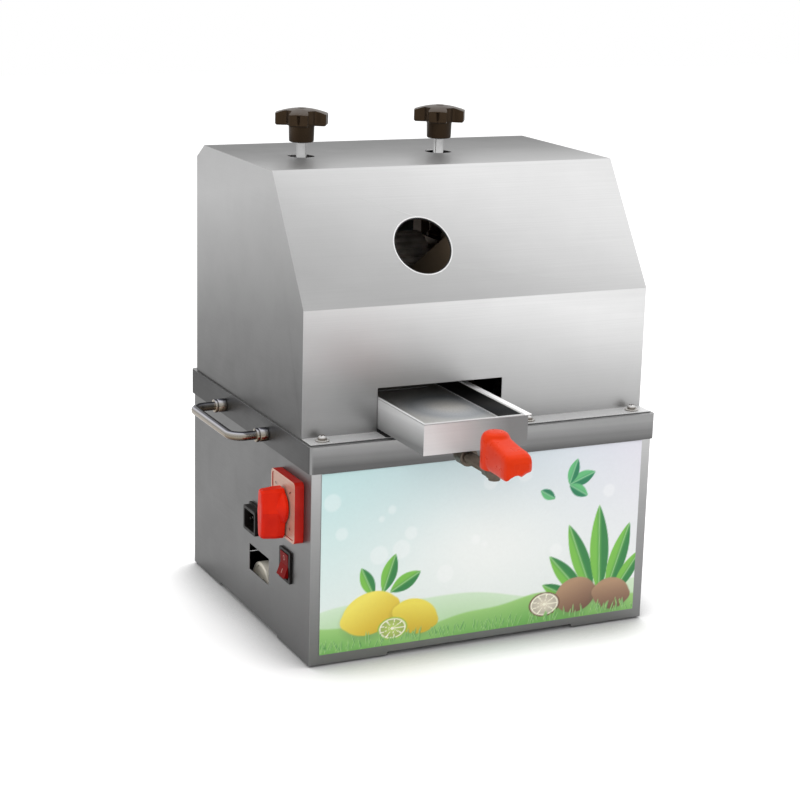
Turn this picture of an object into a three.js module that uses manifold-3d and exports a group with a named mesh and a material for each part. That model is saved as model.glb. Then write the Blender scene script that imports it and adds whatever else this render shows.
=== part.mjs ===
// Desktop electric sugarcane juicer: a three roller mill under a sloped hood, driven by a gear
// motor in the cabinet below, with a pull out juice tray and a lever tap at the front.
// Millimetres, +Z up, X to the right, the front faces -Y. The origin is on the floor, in the
// middle of the footprint.
import * as THREE from 'three';
import { mergeVertices } from 'three/addons/utils/BufferGeometryUtils.js';
import Module from 'manifold-3d';

const wasm = await Module();
wasm.setup();

// Fits
const gap = 0.3; // between pieces that touch
const sheet = 1.2; // body sheet metal

// Cabinet
const cabinetWidth = 396;
const cabinetDepth = 350;
const cabinetBottom = 2; // lower edge of the cabinet above the floor
const notchHeight = 3; // shallow relief between the corner lands
const cornerLand = 88; // length of each land
const returnFlange = 14; // rear edges folded inwards
const footHeight = 5;
const footRadius = 15;
const footInset = 34;
const baseThickness = 1.5;
const baseFlange = 16;
const printWidth = 374;
const printHeight = 190;
const printThickness = 0.6;
const printBottom = 13;

// Louvres of the rear panel
const louvreRows = 4;
const louvreColumns = 3;
const louvreLength = 78;
const louvrePitchX = 104;
const louvrePitchZ = 24;
const louvreHeight = 8;
const louvreReach = 5;
const louvreCentreZ = 112;

// Deck
const deckTop = 235;
const skirtHeight = 28;
const deckOverhang = 3;
const deckCorner = 5;
const gearSlotMargin = 3; // room round the gears where they pass through the deck

// Hood
const hoodProud = 0.5; // hood's sides beyond the cabinet's
const hoodSetback = 26; // cabinet's front to the hood's
const hoodRearSetback = 9;
const hoodTop = 495;
const bendHeight = 133; // front wall, above the deck
const slopeDepth = 88; // depth of the sloped front, seen from above
const chamferDepth = 24;
const chamferDrop = 15;
const hoodFlange = 23; // flange in front of the hood
const inletRadius = 32;
const inletShare = 0.407; // how far up the slope the inlet's centre is
const inletX = -52;
const knobHoleRadius = 14.5;
const traySlotRight = 27;
const traySlotHeight = 47;
const outletHeight = 72; // rear opening for the pressed cane
const hoodScrewInset = 17.5; // from the hood's side
const hoodScrewHead = 4.6;
const hoodScrewWasher = 7;

// Carrying handles
const handleSpan = 126;
const handleY = 3; // middle of the handle
const handleZ = 219;
const handleReach = 38; // skirt to the middle of the bar
const handleRod = 4.5;
const handleBend = 14;
const ferruleRadius = 7.2;
const ferruleLength = 13;

// Mill
const millX = -45.5;
const screwSpacing = 163;
const millY = 36;
const cheekThickness = 12;
const cheekHalf = 98;
const cheekFootHalf = 74;
const cheekHeadHalf = 46;
const cheekTop = 430;
const cheekFlange = 20;
const cheekFlangeHeight = 8;
const barrelRadius = 33.5;
const barrelLength = 120;
const fluteCount = 22;
const fluteDepth = 2.6;
const shoulderRadius = 19;
const journalRadius = 15;
const stubRadius = 12.5;
const keyWidth = 5;
const keyHeight = 2.6;
const lowerSpacing = 83;
const lowerAxisZ = 318;
const bushRadius = 20;
const bushFlangeRadius = 23;
const bushFlange = 3;
const blockHalfY = 25;
const blockHalfZ = 26;
const blockFlange = 4;
const blockCover = 4;
const bridgeHeight = 18;
const bossRadius = 17;
const bossHeight = 12;
const tieRadius = 8;
const tieEndRadius = 5;
const turnerGap = 3.4; // turner bar to each roller
const turnerHeight = 36;

// Gears
const millModule = 5;
const millTeeth = 14;
const millGearWidth = 20;
const millBacklash = 1.5;
const gearOffset = 5.5; // cheek to the first gear
const driveModule = 4;
const driveTeeth = 46;
const pinionTeeth = 14;
const driveGearWidth = 16;
const driveBacklash = 0.7;
const pressureAngle = THREE.MathUtils.degToRad(20);
const webThickness = 8;
const rimWidth = 9;
const hubRadius = 22;

// Pressure screws
const screwRadius = 8;
const screwFootRadius = 10;
const screwFootHeight = 4;
const shankRadius = 5.6;
const knobBottom = 510;
const knobHubRadius = 13.5;
const knobHubHeight = 18;
const knobHeadHeight = 18;
const knobStarRadius = 28;
const knobLobes = 6;
const knobLobeDepth = 5.5;

// Feed chute and bagasse chute
const feedHalfWidth = 33;
const feedWall = 12; // side walls above the axis
const feedStop = 44; // end of the chute to the nip
const feedTieInset = 5; // end of the chute to the tie bar that carries it
const feedFlangeWidth = 96;
const feedFlangeHeight = 88;
const chuteWidth = 124;
const chuteWall = 30;
const chuteOverhang = 20; // behind the hood
const chuteDrop = 33;
const chuteLip = 3; // chute to the rear roller
const chuteLipAngle = THREE.MathUtils.degToRad(35);

// Juice tray
const trayLeft = -115;
const trayWidth = 115;
const trayReach = 82; // in front of the cabinet
const trayLength = 375;
const trayHeight = 31;
const trayLift = 5; // tray above the deck
const railWidth = 13;
const railLip = 3;
const railLipHeight = 22;
const panDepth = 19;
const panRim = 3;
const panFlange = 7; // wide flange along the right side
const panFingerGap = 20; // left free behind the pan, to lift it out
const panSlots = 7;
const panSlotLength = 84;
const panSlotWidth = 4;
const panSlotPitch = 19;
const panSlotStart = -60; // first slot
const dripSlope = 5;
const dripWall = 12;
const dripOverlap = 8; // over the tray's right edge
const dripInset = 14; // from the ends of the cheeks

// Drain and tap
const drainX = -60;
const drainSetback = 22; // tray front to the drain's centre
const pipeDrop = 9; // tray's underside to the pipe's axis
const pipeRadius = 6.2;
const boreRadius = 4;
const elbowRadius = 10;
const valveRadius = 9.2;
const valveCollar = 16; // valve's centre to the end of its hexagon
const bonnetRadius = 7.4;
const bonnetRise = 19;
const tapReach = 45; // tray front to the valve's centre
const spoutRadius = 6;
const spoutDrop = 12;
const stemRadius = 3.2;
const leverLength = 50;
const leverHubRadius = 14.8;
const leverTipHalf = 12;
const leverWall = 3;
const leverRise = 3.5; // pipe's axis to the lever's skirt
const leverHeight = 38;
const leverGripHeight = 30.5;

// Gear motor
const motorShaftZ = 199;
const shaftOffset = 25; // output shaft above the motor's axis
const gearheadSize = 104;
const gearheadLength = 66;
const motorRadius = 50;
const motorLength = 150;
const motorRibs = 16;
const bracketGap = 10; // bracket to the drive gear
const bracketThickness = 6;
const bracketHalf = 66;
const bracketFoot = 48;
const outputRadius = 9;
const outputDepth = 10; // shaft inside the gearhead
const outputBoss = 20;
const capacitorRadius = 26;
const capacitorLength = 92;
const capacitorGap = 12; // side wall to the can
const capacitorSetback = 165; // cabinet's front to the can's axis

// Switches on the left side
const switchSetback = 50.5; // cabinet's front to the switch's axis
const switchZ = 160.5;
const switchPlateSize = 65;
const switchPlateThickness = 10;
const switchBodySize = 46;
const switchBodyDepth = 54;
const switchBaseRadius = 18;
const switchBaseHeight = 8;
const switchBarLength = 55;
const switchBarHeight = 18;
const switchBarHalf = 9;
const spindleRadius = 4;
const rockerSetback = 63;
const rockerZ = 91.5;
const rockerBezelY = 30;
const rockerBezelZ = 34;
const rockerBezelThickness = 2.4;
const rockerOpeningY = 21;
const rockerOpeningZ = 28;
const rockerDepth = 22;
const rockerTilt = THREE.MathUtils.degToRad(9);
const inletSocketSetback = 146;
const inletSocketZ = 115.5;
const inletSocketWidth = 40;
const inletSocketHeight = 31;
const inletSocketReach = 10;
const windowSetback = 114;
const windowLength = 58;
const windowBottom = 51.5;
const windowHeight = 29.5;

// Places worked out from the sizes above
const deckUnder = deckTop - sheet;
const sideX = cabinetWidth / 2;
const frontY = -cabinetDepth / 2;
const backY = cabinetDepth / 2;
const hoodHalf = sideX + hoodProud;
const hoodFront = frontY + hoodSetback;
const hoodBack = backY - hoodRearSetback;
const topFront = hoodFront + slopeDepth;
const topBack = hoodBack - chamferDepth;
const hoodScrewX = hoodHalf - hoodScrewInset;
const hoodScrewY = hoodFront - hoodFlange / 2;
const chuteRear = hoodBack + chuteOverhang;
const switchY = frontY + switchSetback;
const rockerY = frontY + rockerSetback;
const inletSocketY = frontY + inletSocketSetback;
const windowFront = frontY + windowSetback;
const deckHalfX = sideX + deckOverhang;
const deckHalfY = backY + deckOverhang;
const baseTop = footHeight + gap + baseThickness;
const hoodBase = deckTop + gap;
const bendZ = deckTop + bendHeight;
const leftScrewX = millX - screwSpacing / 2;
const rightScrewX = millX + screwSpacing / 2;
const leftInner = leftScrewX + cheekThickness / 2;
const rightInner = rightScrewX - cheekThickness / 2;
const rightOuter = rightScrewX + cheekThickness / 2;
const millPitch = millModule * millTeeth;
const topAxisZ = lowerAxisZ + Math.sqrt(millPitch ** 2 - (lowerSpacing / 2) ** 2);
const frontAxisY = millY - lowerSpacing / 2;
const rearAxisY = millY + lowerSpacing / 2;
const millGearX = rightOuter + gearOffset;
const driveGearX = millGearX + millGearWidth + gearOffset;
const stubEnd = millGearX + millGearWidth + 1;
const driveDistance = (driveModule * (driveTeeth + pinionTeeth)) / 2;
const pinionDrop = lowerAxisZ - motorShaftZ;
const pinionY = frontAxisY + Math.sqrt(driveDistance ** 2 - pinionDrop ** 2);
const trayRight = trayLeft + trayWidth;
const trayBottom = deckTop + trayLift;
const trayTop = trayBottom + trayHeight;
const trayFront = frontY - trayReach;
const trayBack = trayFront + trayLength;
const tapY = trayFront - tapReach;
const tapFront = tapY - leverLength;
const pipeZ = trayBottom - pipeDrop;
const leverBottom = pipeZ + leverRise;
const slopeRun = new THREE.Vector2(topFront - hoodFront, hoodTop - bendZ);
const inletY = hoodFront + slopeRun.x * inletShare;
const inletZ = bendZ + slopeRun.y * inletShare;
const nipY = (millY + frontAxisY) / 2;
const nipZ = (topAxisZ + lowerAxisZ) / 2;
const feedAngle = Math.atan2(nipZ - inletZ, nipY - inletY);
const feedLength = Math.hypot(nipZ - inletZ, nipY - inletY) - feedStop;
const slopeAngle = Math.atan2(slopeRun.y, slopeRun.x);

// Closed three.js geometry to a solid that can be joined and cut
function solidOf(geometry) {
  const loose = geometry.index ? geometry.toNonIndexed() : geometry.clone();
  loose.deleteAttribute('normal');
  loose.deleteAttribute('uv');
  const welded = mergeVertices(loose, 1e-4);
  const point = welded.attributes.position;
  const corners = [new THREE.Vector3(), new THREE.Vector3(), new THREE.Vector3()];
  const triangles = [];
  let volume = 0;
  for (let i = 0; i < welded.index.count; i += 3) {
    const ids = [0, 1, 2].map((k) => welded.index.getX(i + k));
    if (new Set(ids).size < 3) continue;
    ids.forEach((id, k) => corners[k].fromBufferAttribute(point, id));
    volume += corners[0].dot(corners[1].cross(corners[2]));
    triangles.push(ids);
  }
  if (volume < 0) triangles.forEach((ids) => ids.reverse());
  return new wasm.Manifold(new wasm.Mesh({
    numProp: 3,
    vertProperties: new Float32Array(point.array),
    triVerts: new Uint32Array(triangles.flat()),
  }));
}

function geometryOf(solid) {
  const mesh = solid.getMesh();
  const geometry = new THREE.BufferGeometry();
  geometry.setAttribute('position', new THREE.BufferAttribute(mesh.vertProperties, 3));
  geometry.setIndex(new THREE.BufferAttribute(mesh.triVerts, 1));
  geometry.computeVertexNormals();
  return geometry;
}

function join(...solids) {
  return solids.reduce((all, one) => all.add(one));
}

function cut(body, ...tools) {
  return tools.reduce((rest, tool) => rest.subtract(tool), body);
}

function block(x0, x1, y0, y1, z0, z1) {
  const geometry = new THREE.BoxGeometry(x1 - x0, y1 - y0, z1 - z0);
  return solidOf(geometry.translate((x0 + x1) / 2, (y0 + y1) / 2, (z0 + z1) / 2));
}

const axisX = new THREE.Vector3(1, 0, 0);
const axisY = new THREE.Vector3(0, 1, 0);
const axisZ = new THREE.Vector3(0, 0, 1);
// Frames that stand a flat outline up: its plane's two directions, then the way it is extruded
const planeYZ = new THREE.Matrix4().makeBasis(axisY, axisZ, axisX);
const planeXZ = new THREE.Matrix4().makeBasis(axisX, axisZ, axisY.clone().negate());

function shapeOf(points) {
  return new THREE.Shape(points.map(([u, v]) => new THREE.Vector2(u, v)));
}

function extrude(shape, depth, curveSegments = 2) {
  return new THREE.ExtrudeGeometry(shape, { depth, bevelEnabled: false, curveSegments });
}

// Outline in the YZ plane, from x0 to x1
function prismX(shape, x0, x1, curveSegments) {
  return solidOf(extrude(shape, x1 - x0, curveSegments).applyMatrix4(planeYZ).translate(x0, 0, 0));
}

// Outline in the XZ plane, from y0 to y1
function prismY(shape, y0, y1, curveSegments) {
  return solidOf(extrude(shape, y1 - y0, curveSegments).applyMatrix4(planeXZ).translate(0, y1, 0));
}

// Outline in the XY plane, from z0 to z1
function prismZ(shape, z0, z1, curveSegments) {
  return solidOf(extrude(shape, z1 - z0, curveSegments).translate(0, 0, z0));
}

function roundedRectangle(width, height, radius, centreU = 0, centreV = 0) {
  const [w, h] = [width / 2, height / 2];
  const shape = new THREE.Shape();
  shape.absarc(centreU + w - radius, centreV + h - radius, radius, 0, Math.PI / 2);
  shape.absarc(centreU - w + radius, centreV + h - radius, radius, Math.PI / 2, Math.PI);
  shape.absarc(centreU - w + radius, centreV - h + radius, radius, Math.PI, Math.PI * 1.5);
  shape.absarc(centreU + w - radius, centreV - h + radius, radius, Math.PI * 1.5, Math.PI * 2);
  return shape;
}

// Revolved profile of [radius, height] pairs, standing on an axis through the origin
function revolve(profile, axis, sides = 24) {
  const points = profile.map(([r, h]) => new THREE.Vector2(r, h));
  const geometry = new THREE.LatheGeometry(points, sides);
  const turn = new THREE.Quaternion().setFromUnitVectors(axisY, axis);
  return solidOf(geometry.applyQuaternion(turn));
}

function rodX(radius, x0, x1, y, z, sides = 24) {
  return revolve([[0, x0], [radius, x0], [radius, x1], [0, x1]], axisX, sides).translate(0, y, z);
}

function rodY(radius, y0, y1, x, z, sides = 24) {
  return revolve([[0, y0], [radius, y0], [radius, y1], [0, y1]], axisY, sides).translate(x, 0, z);
}

function rodZ(radius, z0, z1, x, y, sides = 24) {
  return revolve([[0, z0], [radius, z0], [radius, z1], [0, z1]], axisZ, sides).translate(x, y, 0);
}

function ball(radius, x, y, z, sides = 16) {
  return solidOf(new THREE.SphereGeometry(radius, sides, sides / 2)).translate(x, y, z);
}

// Convex outline moved inwards by a wall
function insetOutline(points, wall) {
  const inset = [];
  points.forEach((point, i) => {
    const before = points[(i + points.length - 1) % points.length];
    const after = points[(i + 1) % points.length];
    const a = new THREE.Vector2(point[0] - before[0], point[1] - before[1]).normalize();
    const b = new THREE.Vector2(after[0] - point[0], after[1] - point[1]).normalize();
    const normal = new THREE.Vector2(-a.y - b.y, a.x + b.x);
    const reach = (2 * wall) / normal.lengthSq();
    inset.push([point[0] + normal.x * reach, point[1] + normal.y * reach]);
  });
  return inset;
}

// Round rod swept along points in one flat plane
function sweptRod(points, radius, sides, planeNormal) {
  const positions = [];
  points.forEach((point, i) => {
    const ahead = points[Math.min(i + 1, points.length - 1)];
    const behind = points[Math.max(i - 1, 0)];
    const tangent = ahead.clone().sub(behind).normalize();
    const side = tangent.clone().cross(planeNormal).normalize();
    for (let k = 0; k < sides; k += 1) {
      const angle = (2 * Math.PI * k) / sides;
      const ring = side.clone().multiplyScalar(radius * Math.cos(angle));
      ring.addScaledVector(planeNormal, radius * Math.sin(angle)).add(point);
      positions.push(...ring.toArray());
    }
  });
  const index = [];
  const last = (points.length - 1) * sides;
  for (let k = 0; k < sides; k += 1) {
    const next = (k + 1) % sides;
    for (let i = 0; i < points.length - 1; i += 1) {
      const [a, b] = [i * sides + k, i * sides + next];
      index.push(a, b, a + sides, b, b + sides, a + sides);
    }
    if (k > 0 && k < sides - 1) {
      index.push(0, k + 1, k);
      index.push(last, last + k, last + k + 1);
    }
  }
  const geometry = new THREE.BufferGeometry();
  geometry.setAttribute('position', new THREE.Float32BufferAttribute(positions, 3));
  geometry.setIndex(index);
  return solidOf(geometry);
}

function finish(color, roughness, metalness) {
  return { color, roughness, metalness };
}

const brushedSteel = finish(0xb9bbbd, 0.38, 0.9);
const polishedSteel = finish(0xd2d4d6, 0.2, 0.95);
const millSteel = finish(0x9a9c9e, 0.45, 0.85);
const castIron = finish(0x5c5f62, 0.7, 0.5);
const bronze = finish(0xa8834a, 0.4, 0.85);
const brass = finish(0x8f6f45, 0.45, 0.8);
const blackPlastic = finish(0x1d1a18, 0.5, 0);
const bakelite = finish(0x2b2420, 0.42, 0);
const redPlastic = finish(0xc81e14, 0.35, 0);
const tapRed = finish(0xd9402a, 0.35, 0);
const rockerRed = finish(0xa01410, 0.25, 0);
const rubber = finish(0x151515, 0.9, 0);
const creamPlastic = finish(0xd8d0bc, 0.5, 0);
const printVinyl = finish(0xdcebe6, 0.5, 0);
const motorPaint = finish(0x3a4048, 0.55, 0.3);

function piece(name, solid, look) {
  const mesh = new THREE.Mesh(geometryOf(solid), new THREE.MeshStandardMaterial(look));
  mesh.name = name;
  return mesh;
}

function placed(mesh, x, y, z) {
  mesh.position.set(x, y, z);
  return mesh;
}

// Cabinet
function cabinetShell() {
  const top = deckUnder - gap;
  const body = block(-sideX, sideX, frontY, backY, cabinetBottom, top);
  const inside = block(
    -sideX + sheet, sideX - sheet, frontY + sheet, backY - sheet, cabinetBottom - 1, top + 1);
  const rear = block(
    -sideX + returnFlange, sideX - returnFlange, backY - 2 * sheet, backY + 1, cabinetBottom - 1, top + 1);
  const notchTop = cabinetBottom + notchHeight;
  const sideNotch = block(
    -sideX - 1, sideX + 1, frontY + cornerLand, backY - cornerLand, cabinetBottom - 1, notchTop);
  const frontNotch = block(
    -sideX + cornerLand, sideX - cornerLand, frontY - 1, frontY + 2 * sheet, cabinetBottom - 1, notchTop);
  const wall = [-sideX - 1, -sideX + 2 * sheet];
  const switchHole = rodX(switchBodySize * 0.42, ...wall, switchY, switchZ, 20);
  const rockerHole = prismX(
    roundedRectangle(rockerBezelY - 3, rockerBezelZ - 3, 1, rockerY, rockerZ), ...wall);
  const socketHole = prismX(
    roundedRectangle(inletSocketWidth - 8, inletSocketHeight - 5, 1, inletSocketY, inletSocketZ), ...wall);
  const window = block(
    ...wall, windowFront, windowFront + windowLength, windowBottom, windowBottom + windowHeight);
  return cut(body, inside, rear, sideNotch, frontNotch, switchHole, rockerHole, socketHole, window);
}

function rearPanel() {
  const half = sideX - sheet - gap;
  const outer = backY - sheet - gap;
  const plate = block(-half, half, outer - sheet, outer, baseTop + gap, deckUnder - gap);
  const hoods = [];
  const slots = [];
  const profile = [
    [outer - sheet / 2, louvreHeight], [outer + louvreReach * 0.6, louvreHeight * 0.6],
    [outer + louvreReach, 0], [outer - sheet / 2, 0]];
  for (let row = 0; row < louvreRows; row += 1) {
    for (let column = 0; column < louvreColumns; column += 1) {
      const x = (column - (louvreColumns - 1) / 2) * louvrePitchX;
      const z = louvreCentreZ + (row - (louvreRows - 1) / 2) * louvrePitchZ;
      const [x0, x1] = [x - louvreLength / 2, x + louvreLength / 2];
      hoods.push(prismX(shapeOf(profile), x0, x1).translate(0, 0, z));
      const hollow = insetOutline(profile, -sheet).map(([y, v]) => [y - 2 * sheet, v - 2 * sheet]);
      slots.push(prismX(shapeOf(hollow), x0 + sheet, x1 - sheet).translate(0, 0, z));
    }
  }
  return cut(join(plate, ...hoods), ...slots);
}

function basePlate() {
  const half = sideX - sheet - gap;
  const front = frontY + sheet + gap;
  const rear = backY - 2 * sheet - 2 * gap;
  const bottom = footHeight + gap;
  const pan = block(-half, half, front, rear, bottom, bottom + baseFlange);
  const flangeTop = bottom + baseFlange + 1;
  const inside = block(
    -half + baseThickness, half - baseThickness, front + baseThickness, rear + 1, baseTop, flangeTop);
  const behind = block(-half - 1, half + 1, rear - baseThickness, rear + 1, baseTop, flangeTop);
  return cut(pan, inside, behind);
}

function foot() {
  return revolve([
    [0, 0.8], [footRadius * 0.3, 0.8], [footRadius * 0.35, 0], [footRadius - 1.5, 0],
    [footRadius - 1, footHeight], [0, footHeight]], axisZ, 16);
}

function cabinet() {
  const group = new THREE.Group();
  group.add(piece('cabinet_shell', cabinetShell(), brushedSteel));
  const printBack = frontY - gap;
  const print = block(
    -printWidth / 2, printWidth / 2, printBack - printThickness, printBack,
    printBottom, printBottom + printHeight);
  group.add(piece('front_print', print, printVinyl));
  group.add(piece('rear_panel', rearPanel(), brushedSteel));
  group.add(piece('base_plate', basePlate(), brushedSteel));
  for (const [side, sx] of [['left', -1], ['right', 1]]) {
    for (const [end, sy] of [['front', -1], ['rear', 1]]) {
      const mesh = piece(`foot_${end}_${side}`, foot(), rubber);
      group.add(placed(mesh, sx * (sideX - footInset), sy * (backY - footInset), 0));
    }
  }
  return group;
}

// Deck and handles
function deckSolid() {
  const skirtBottom = deckTop - skirtHeight;
  const outer = prismZ(
    roundedRectangle(2 * deckHalfX, 2 * deckHalfY, deckCorner), skirtBottom, deckTop, 3);
  const inner = prismZ(
    roundedRectangle(2 * (deckHalfX - sheet), 2 * (deckHalfY - sheet), deckCorner - sheet),
    skirtBottom - 1, deckUnder, 3);
  const gearRadius = (driveModule * driveTeeth) / 2 + driveModule;
  const depth = lowerAxisZ - deckUnder;
  const reach = Math.sqrt(Math.max(gearRadius ** 2 - depth ** 2, 0)) + gearSlotMargin;
  const gearSlot = block(
    driveGearX - gearSlotMargin, driveGearX + driveGearWidth + gearSlotMargin,
    frontAxisY - reach, frontAxisY + reach, deckUnder - 1, deckTop + 1);
  const screwHoles = [-hoodScrewX, hoodScrewX].map(
    (x) => rodZ(hoodScrewHead / 2 + gap, deckUnder - 1, deckTop + 1, x, hoodScrewY, 10));
  return cut(outer, inner, gearSlot, ...screwHoles);
}

function handleSolid() {
  const start = gap;
  const outX = handleReach;
  const half = handleSpan / 2;
  const points = [new THREE.Vector3(start, -half, 0)];
  for (const side of [-1, 1]) {
    for (let k = 0; k <= 4; k += 1) {
      const angle = (Math.PI / 2) * (side < 0 ? k / 4 : 1 - k / 4);
      const x = outX - handleBend + handleBend * Math.sin(angle);
      const y = side * (half - handleBend + handleBend * Math.cos(angle));
      points.push(new THREE.Vector3(x, y, 0));
    }
  }
  points.push(new THREE.Vector3(start, half, 0));
  const rod = sweptRod(points, handleRod, 10, axisZ);
  const ferrule = [
    [0, start], [ferruleRadius, start], [ferruleRadius, ferruleLength * 0.45],
    [ferruleRadius * 0.85, ferruleLength * 0.52], [ferruleRadius, ferruleLength * 0.6],
    [ferruleRadius, ferruleLength], [0, ferruleLength]];
  const collar = revolve(ferrule, axisX, 12);
  return join(rod, collar.translate(0, -half, 0), collar.translate(0, half, 0));
}

function hoodScrew() {
  const seat = gap + sheet + gap;
  return revolve([
    [0, -4], [hoodScrewHead / 2, -4], [hoodScrewHead / 2, seat], [hoodScrewWasher, seat],
    [hoodScrewWasher, seat + 1], [hoodScrewHead, seat + 1.1], [hoodScrewHead * 0.9, seat + 2.6],
    [0, seat + 4]], axisZ, 12);
}

function deck() {
  const group = new THREE.Group();
  group.add(piece('deck', deckSolid(), brushedSteel));
  const right = placed(piece('right_handle', handleSolid(), polishedSteel), deckHalfX, handleY, handleZ);
  const left = placed(piece('left_handle', handleSolid(), polishedSteel), -deckHalfX, handleY, handleZ);
  left.rotation.z = Math.PI;
  group.add(left, right);
  for (const [side, sx] of [['left', -1], ['right', 1]]) {
    const mesh = piece(`hood_screw_${side}`, hoodScrew(), polishedSteel);
    group.add(placed(mesh, sx * hoodScrewX, hoodScrewY, deckTop));
  }
  return group;
}

// Hood, one folded sheet with welded sides, with its flange towards the front
function hoodSolid() {
  const profile = [
    [hoodFront, hoodBase], [hoodBack, hoodBase], [hoodBack, hoodTop - chamferDrop],
    [topBack, hoodTop], [topFront, hoodTop], [hoodFront, bendZ]];
  const half = hoodHalf;
  const outer = prismX(shapeOf(profile), -half, half);
  const inner = prismX(shapeOf(insetOutline(profile, sheet)), -half + sheet, half - sheet);
  const opening = block(
    -half + sheet, half - sheet, hoodFront + sheet, hoodBack - sheet, hoodBase - 1, hoodBase + 2 * sheet);
  const flange = block(
    -half, half, hoodFront - hoodFlange, hoodFront + sheet / 2, hoodBase, hoodBase + sheet);
  const inlet = rodY(inletRadius, -20, 20, 0, 0, 36)
    .rotate([THREE.MathUtils.radToDeg(slopeAngle) - 90, 0, 0])
    .translate(inletX, inletY, inletZ);
  const knobHoles = [leftScrewX, rightScrewX].map(
    (x) => rodZ(knobHoleRadius, hoodTop - 5, hoodTop + 5, x, millY, 20));
  const traySlot = block(
    trayLeft - 0.5, traySlotRight, hoodFront - gap, hoodFront + 2 * sheet,
    hoodBase + sheet, hoodBase + traySlotHeight);
  const chute = chuteLine();
  const floorZ = chute.heightAt(hoodBack) - 2 * sheet;
  const outlet = block(
    millX - chuteWidth / 2 - 5, millX + chuteWidth / 2 + 5, hoodBack - 2 * sheet, hoodBack + 1,
    floorZ, floorZ + outletHeight);
  const screwHoles = [-hoodScrewX, hoodScrewX].map(
    (x) => rodZ(hoodScrewHead / 2 + gap, hoodBase - 1, hoodBase + 3, x, hoodScrewY, 10));
  const shell = join(cut(outer, inner, opening), flange);
  return cut(shell, inlet, ...knobHoles, traySlot, outlet, ...screwHoles);
}

// Feed chute: a channel from the hood's inlet down to the nip of the front pair
function feedPoint(along, above) {
  const y = inletY + along * Math.cos(feedAngle) - above * Math.sin(feedAngle);
  const z = inletZ + along * Math.sin(feedAngle) + above * Math.cos(feedAngle);
  return [y, z];
}

function feedChute() {
  const outerHalf = feedHalfWidth + sheet;
  const floor = -feedHalfWidth - sheet;
  const section = shapeOf([
    [-outerHalf, floor], [outerHalf, floor], [outerHalf, feedWall], [feedHalfWidth, feedWall],
    [feedHalfWidth, floor + sheet], [-feedHalfWidth, floor + sheet], [-feedHalfWidth, feedWall],
    [-outerHalf, feedWall]]);
  const turn = THREE.MathUtils.radToDeg(feedAngle);
  const channel = prismY(section, -5, feedLength).rotate([turn, 0, 0]).translate(inletX, inletY, inletZ);
  const plateTurn = THREE.MathUtils.radToDeg(slopeAngle) - 90;
  const plateFace = sheet + gap;
  const plate = block(
    -feedFlangeWidth / 2, feedFlangeWidth / 2, plateFace, plateFace + sheet,
    -feedFlangeHeight / 2, feedFlangeHeight / 2)
    .rotate([plateTurn, 0, 0]).translate(inletX, inletY, inletZ);
  const reach = feedFlangeWidth;
  const beyond = block(-reach, reach, -reach, plateFace, -reach, reach)
    .rotate([plateTurn, 0, 0]).translate(inletX, inletY, inletZ);
  const hole = rodY(inletRadius + 1, -2, plateFace + sheet + 2, 0, 0, 24)
    .rotate([plateTurn, 0, 0]).translate(inletX, inletY, inletZ);
  return cut(join(cut(channel, beyond), plate), hole);
}

// Bagasse chute: starts just off the rear roller and slopes out through the hood's rear opening
function chuteLine() {
  const reach = barrelRadius + chuteLip;
  const startY = rearAxisY + reach * Math.cos(chuteLipAngle);
  const startZ = lowerAxisZ + reach * Math.sin(chuteLipAngle);
  const angle = Math.atan2(-chuteDrop, chuteRear - startY);
  const heightAt = (y) => startZ + (y - startY) * Math.tan(angle);
  return { startY, startZ, angle, heightAt };
}

function bagasseChute() {
  const { startY, startZ, angle } = chuteLine();
  const half = chuteWidth / 2;
  const length = (chuteRear - startY) / Math.cos(angle);
  const section = shapeOf([
    [-half, -sheet], [half, -sheet], [half, chuteWall], [half - sheet, chuteWall],
    [half - sheet, 0], [-half + sheet, 0], [-half + sheet, chuteWall], [-half, chuteWall]]);
  const channel = prismY(section, 0, length)
    .rotate([THREE.MathUtils.radToDeg(angle), 0, 0]).translate(millX, startY, startZ);
  const [x0, x1] = [millX - chuteWidth, millX + chuteWidth];
  const tail = block(x0, x1, chuteRear, chuteRear + chuteWall, deckTop, hoodTop);
  return cut(channel, tail, rodX(barrelRadius + chuteLip, x0, x1, rearAxisY, lowerAxisZ, 40));
}

// Mill frame
function cheekOutline() {
  const foot = deckTop + gap;
  const middle = [lowerAxisZ - 42, lowerAxisZ + 30];
  const half = [
    [cheekFootHalf, foot], [cheekFootHalf, foot + 14], [cheekHalf, middle[0]], [cheekHalf, middle[1]],
    [cheekHeadHalf, topAxisZ + 26], [cheekHeadHalf, cheekTop]];
  const left = half.map(([y, z]) => [millY - y, z]).reverse();
  return [...half.map(([y, z]) => [millY + y, z]), ...left];
}

// Where the tie bars sit: the front one carries the feed chute, the rear one the bagasse chute
function tiePlaces() {
  const below = sheet + gap + tieRadius;
  const front = feedPoint(feedLength - feedTieInset, -feedHalfWidth - below);
  const { startY, startZ, angle } = chuteLine();
  const along = 21;
  const rear = [
    startY + along * Math.cos(angle) + below * Math.sin(angle),
    startZ + along * Math.sin(angle) - below * Math.cos(angle)];
  return { front, rear };
}

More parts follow.
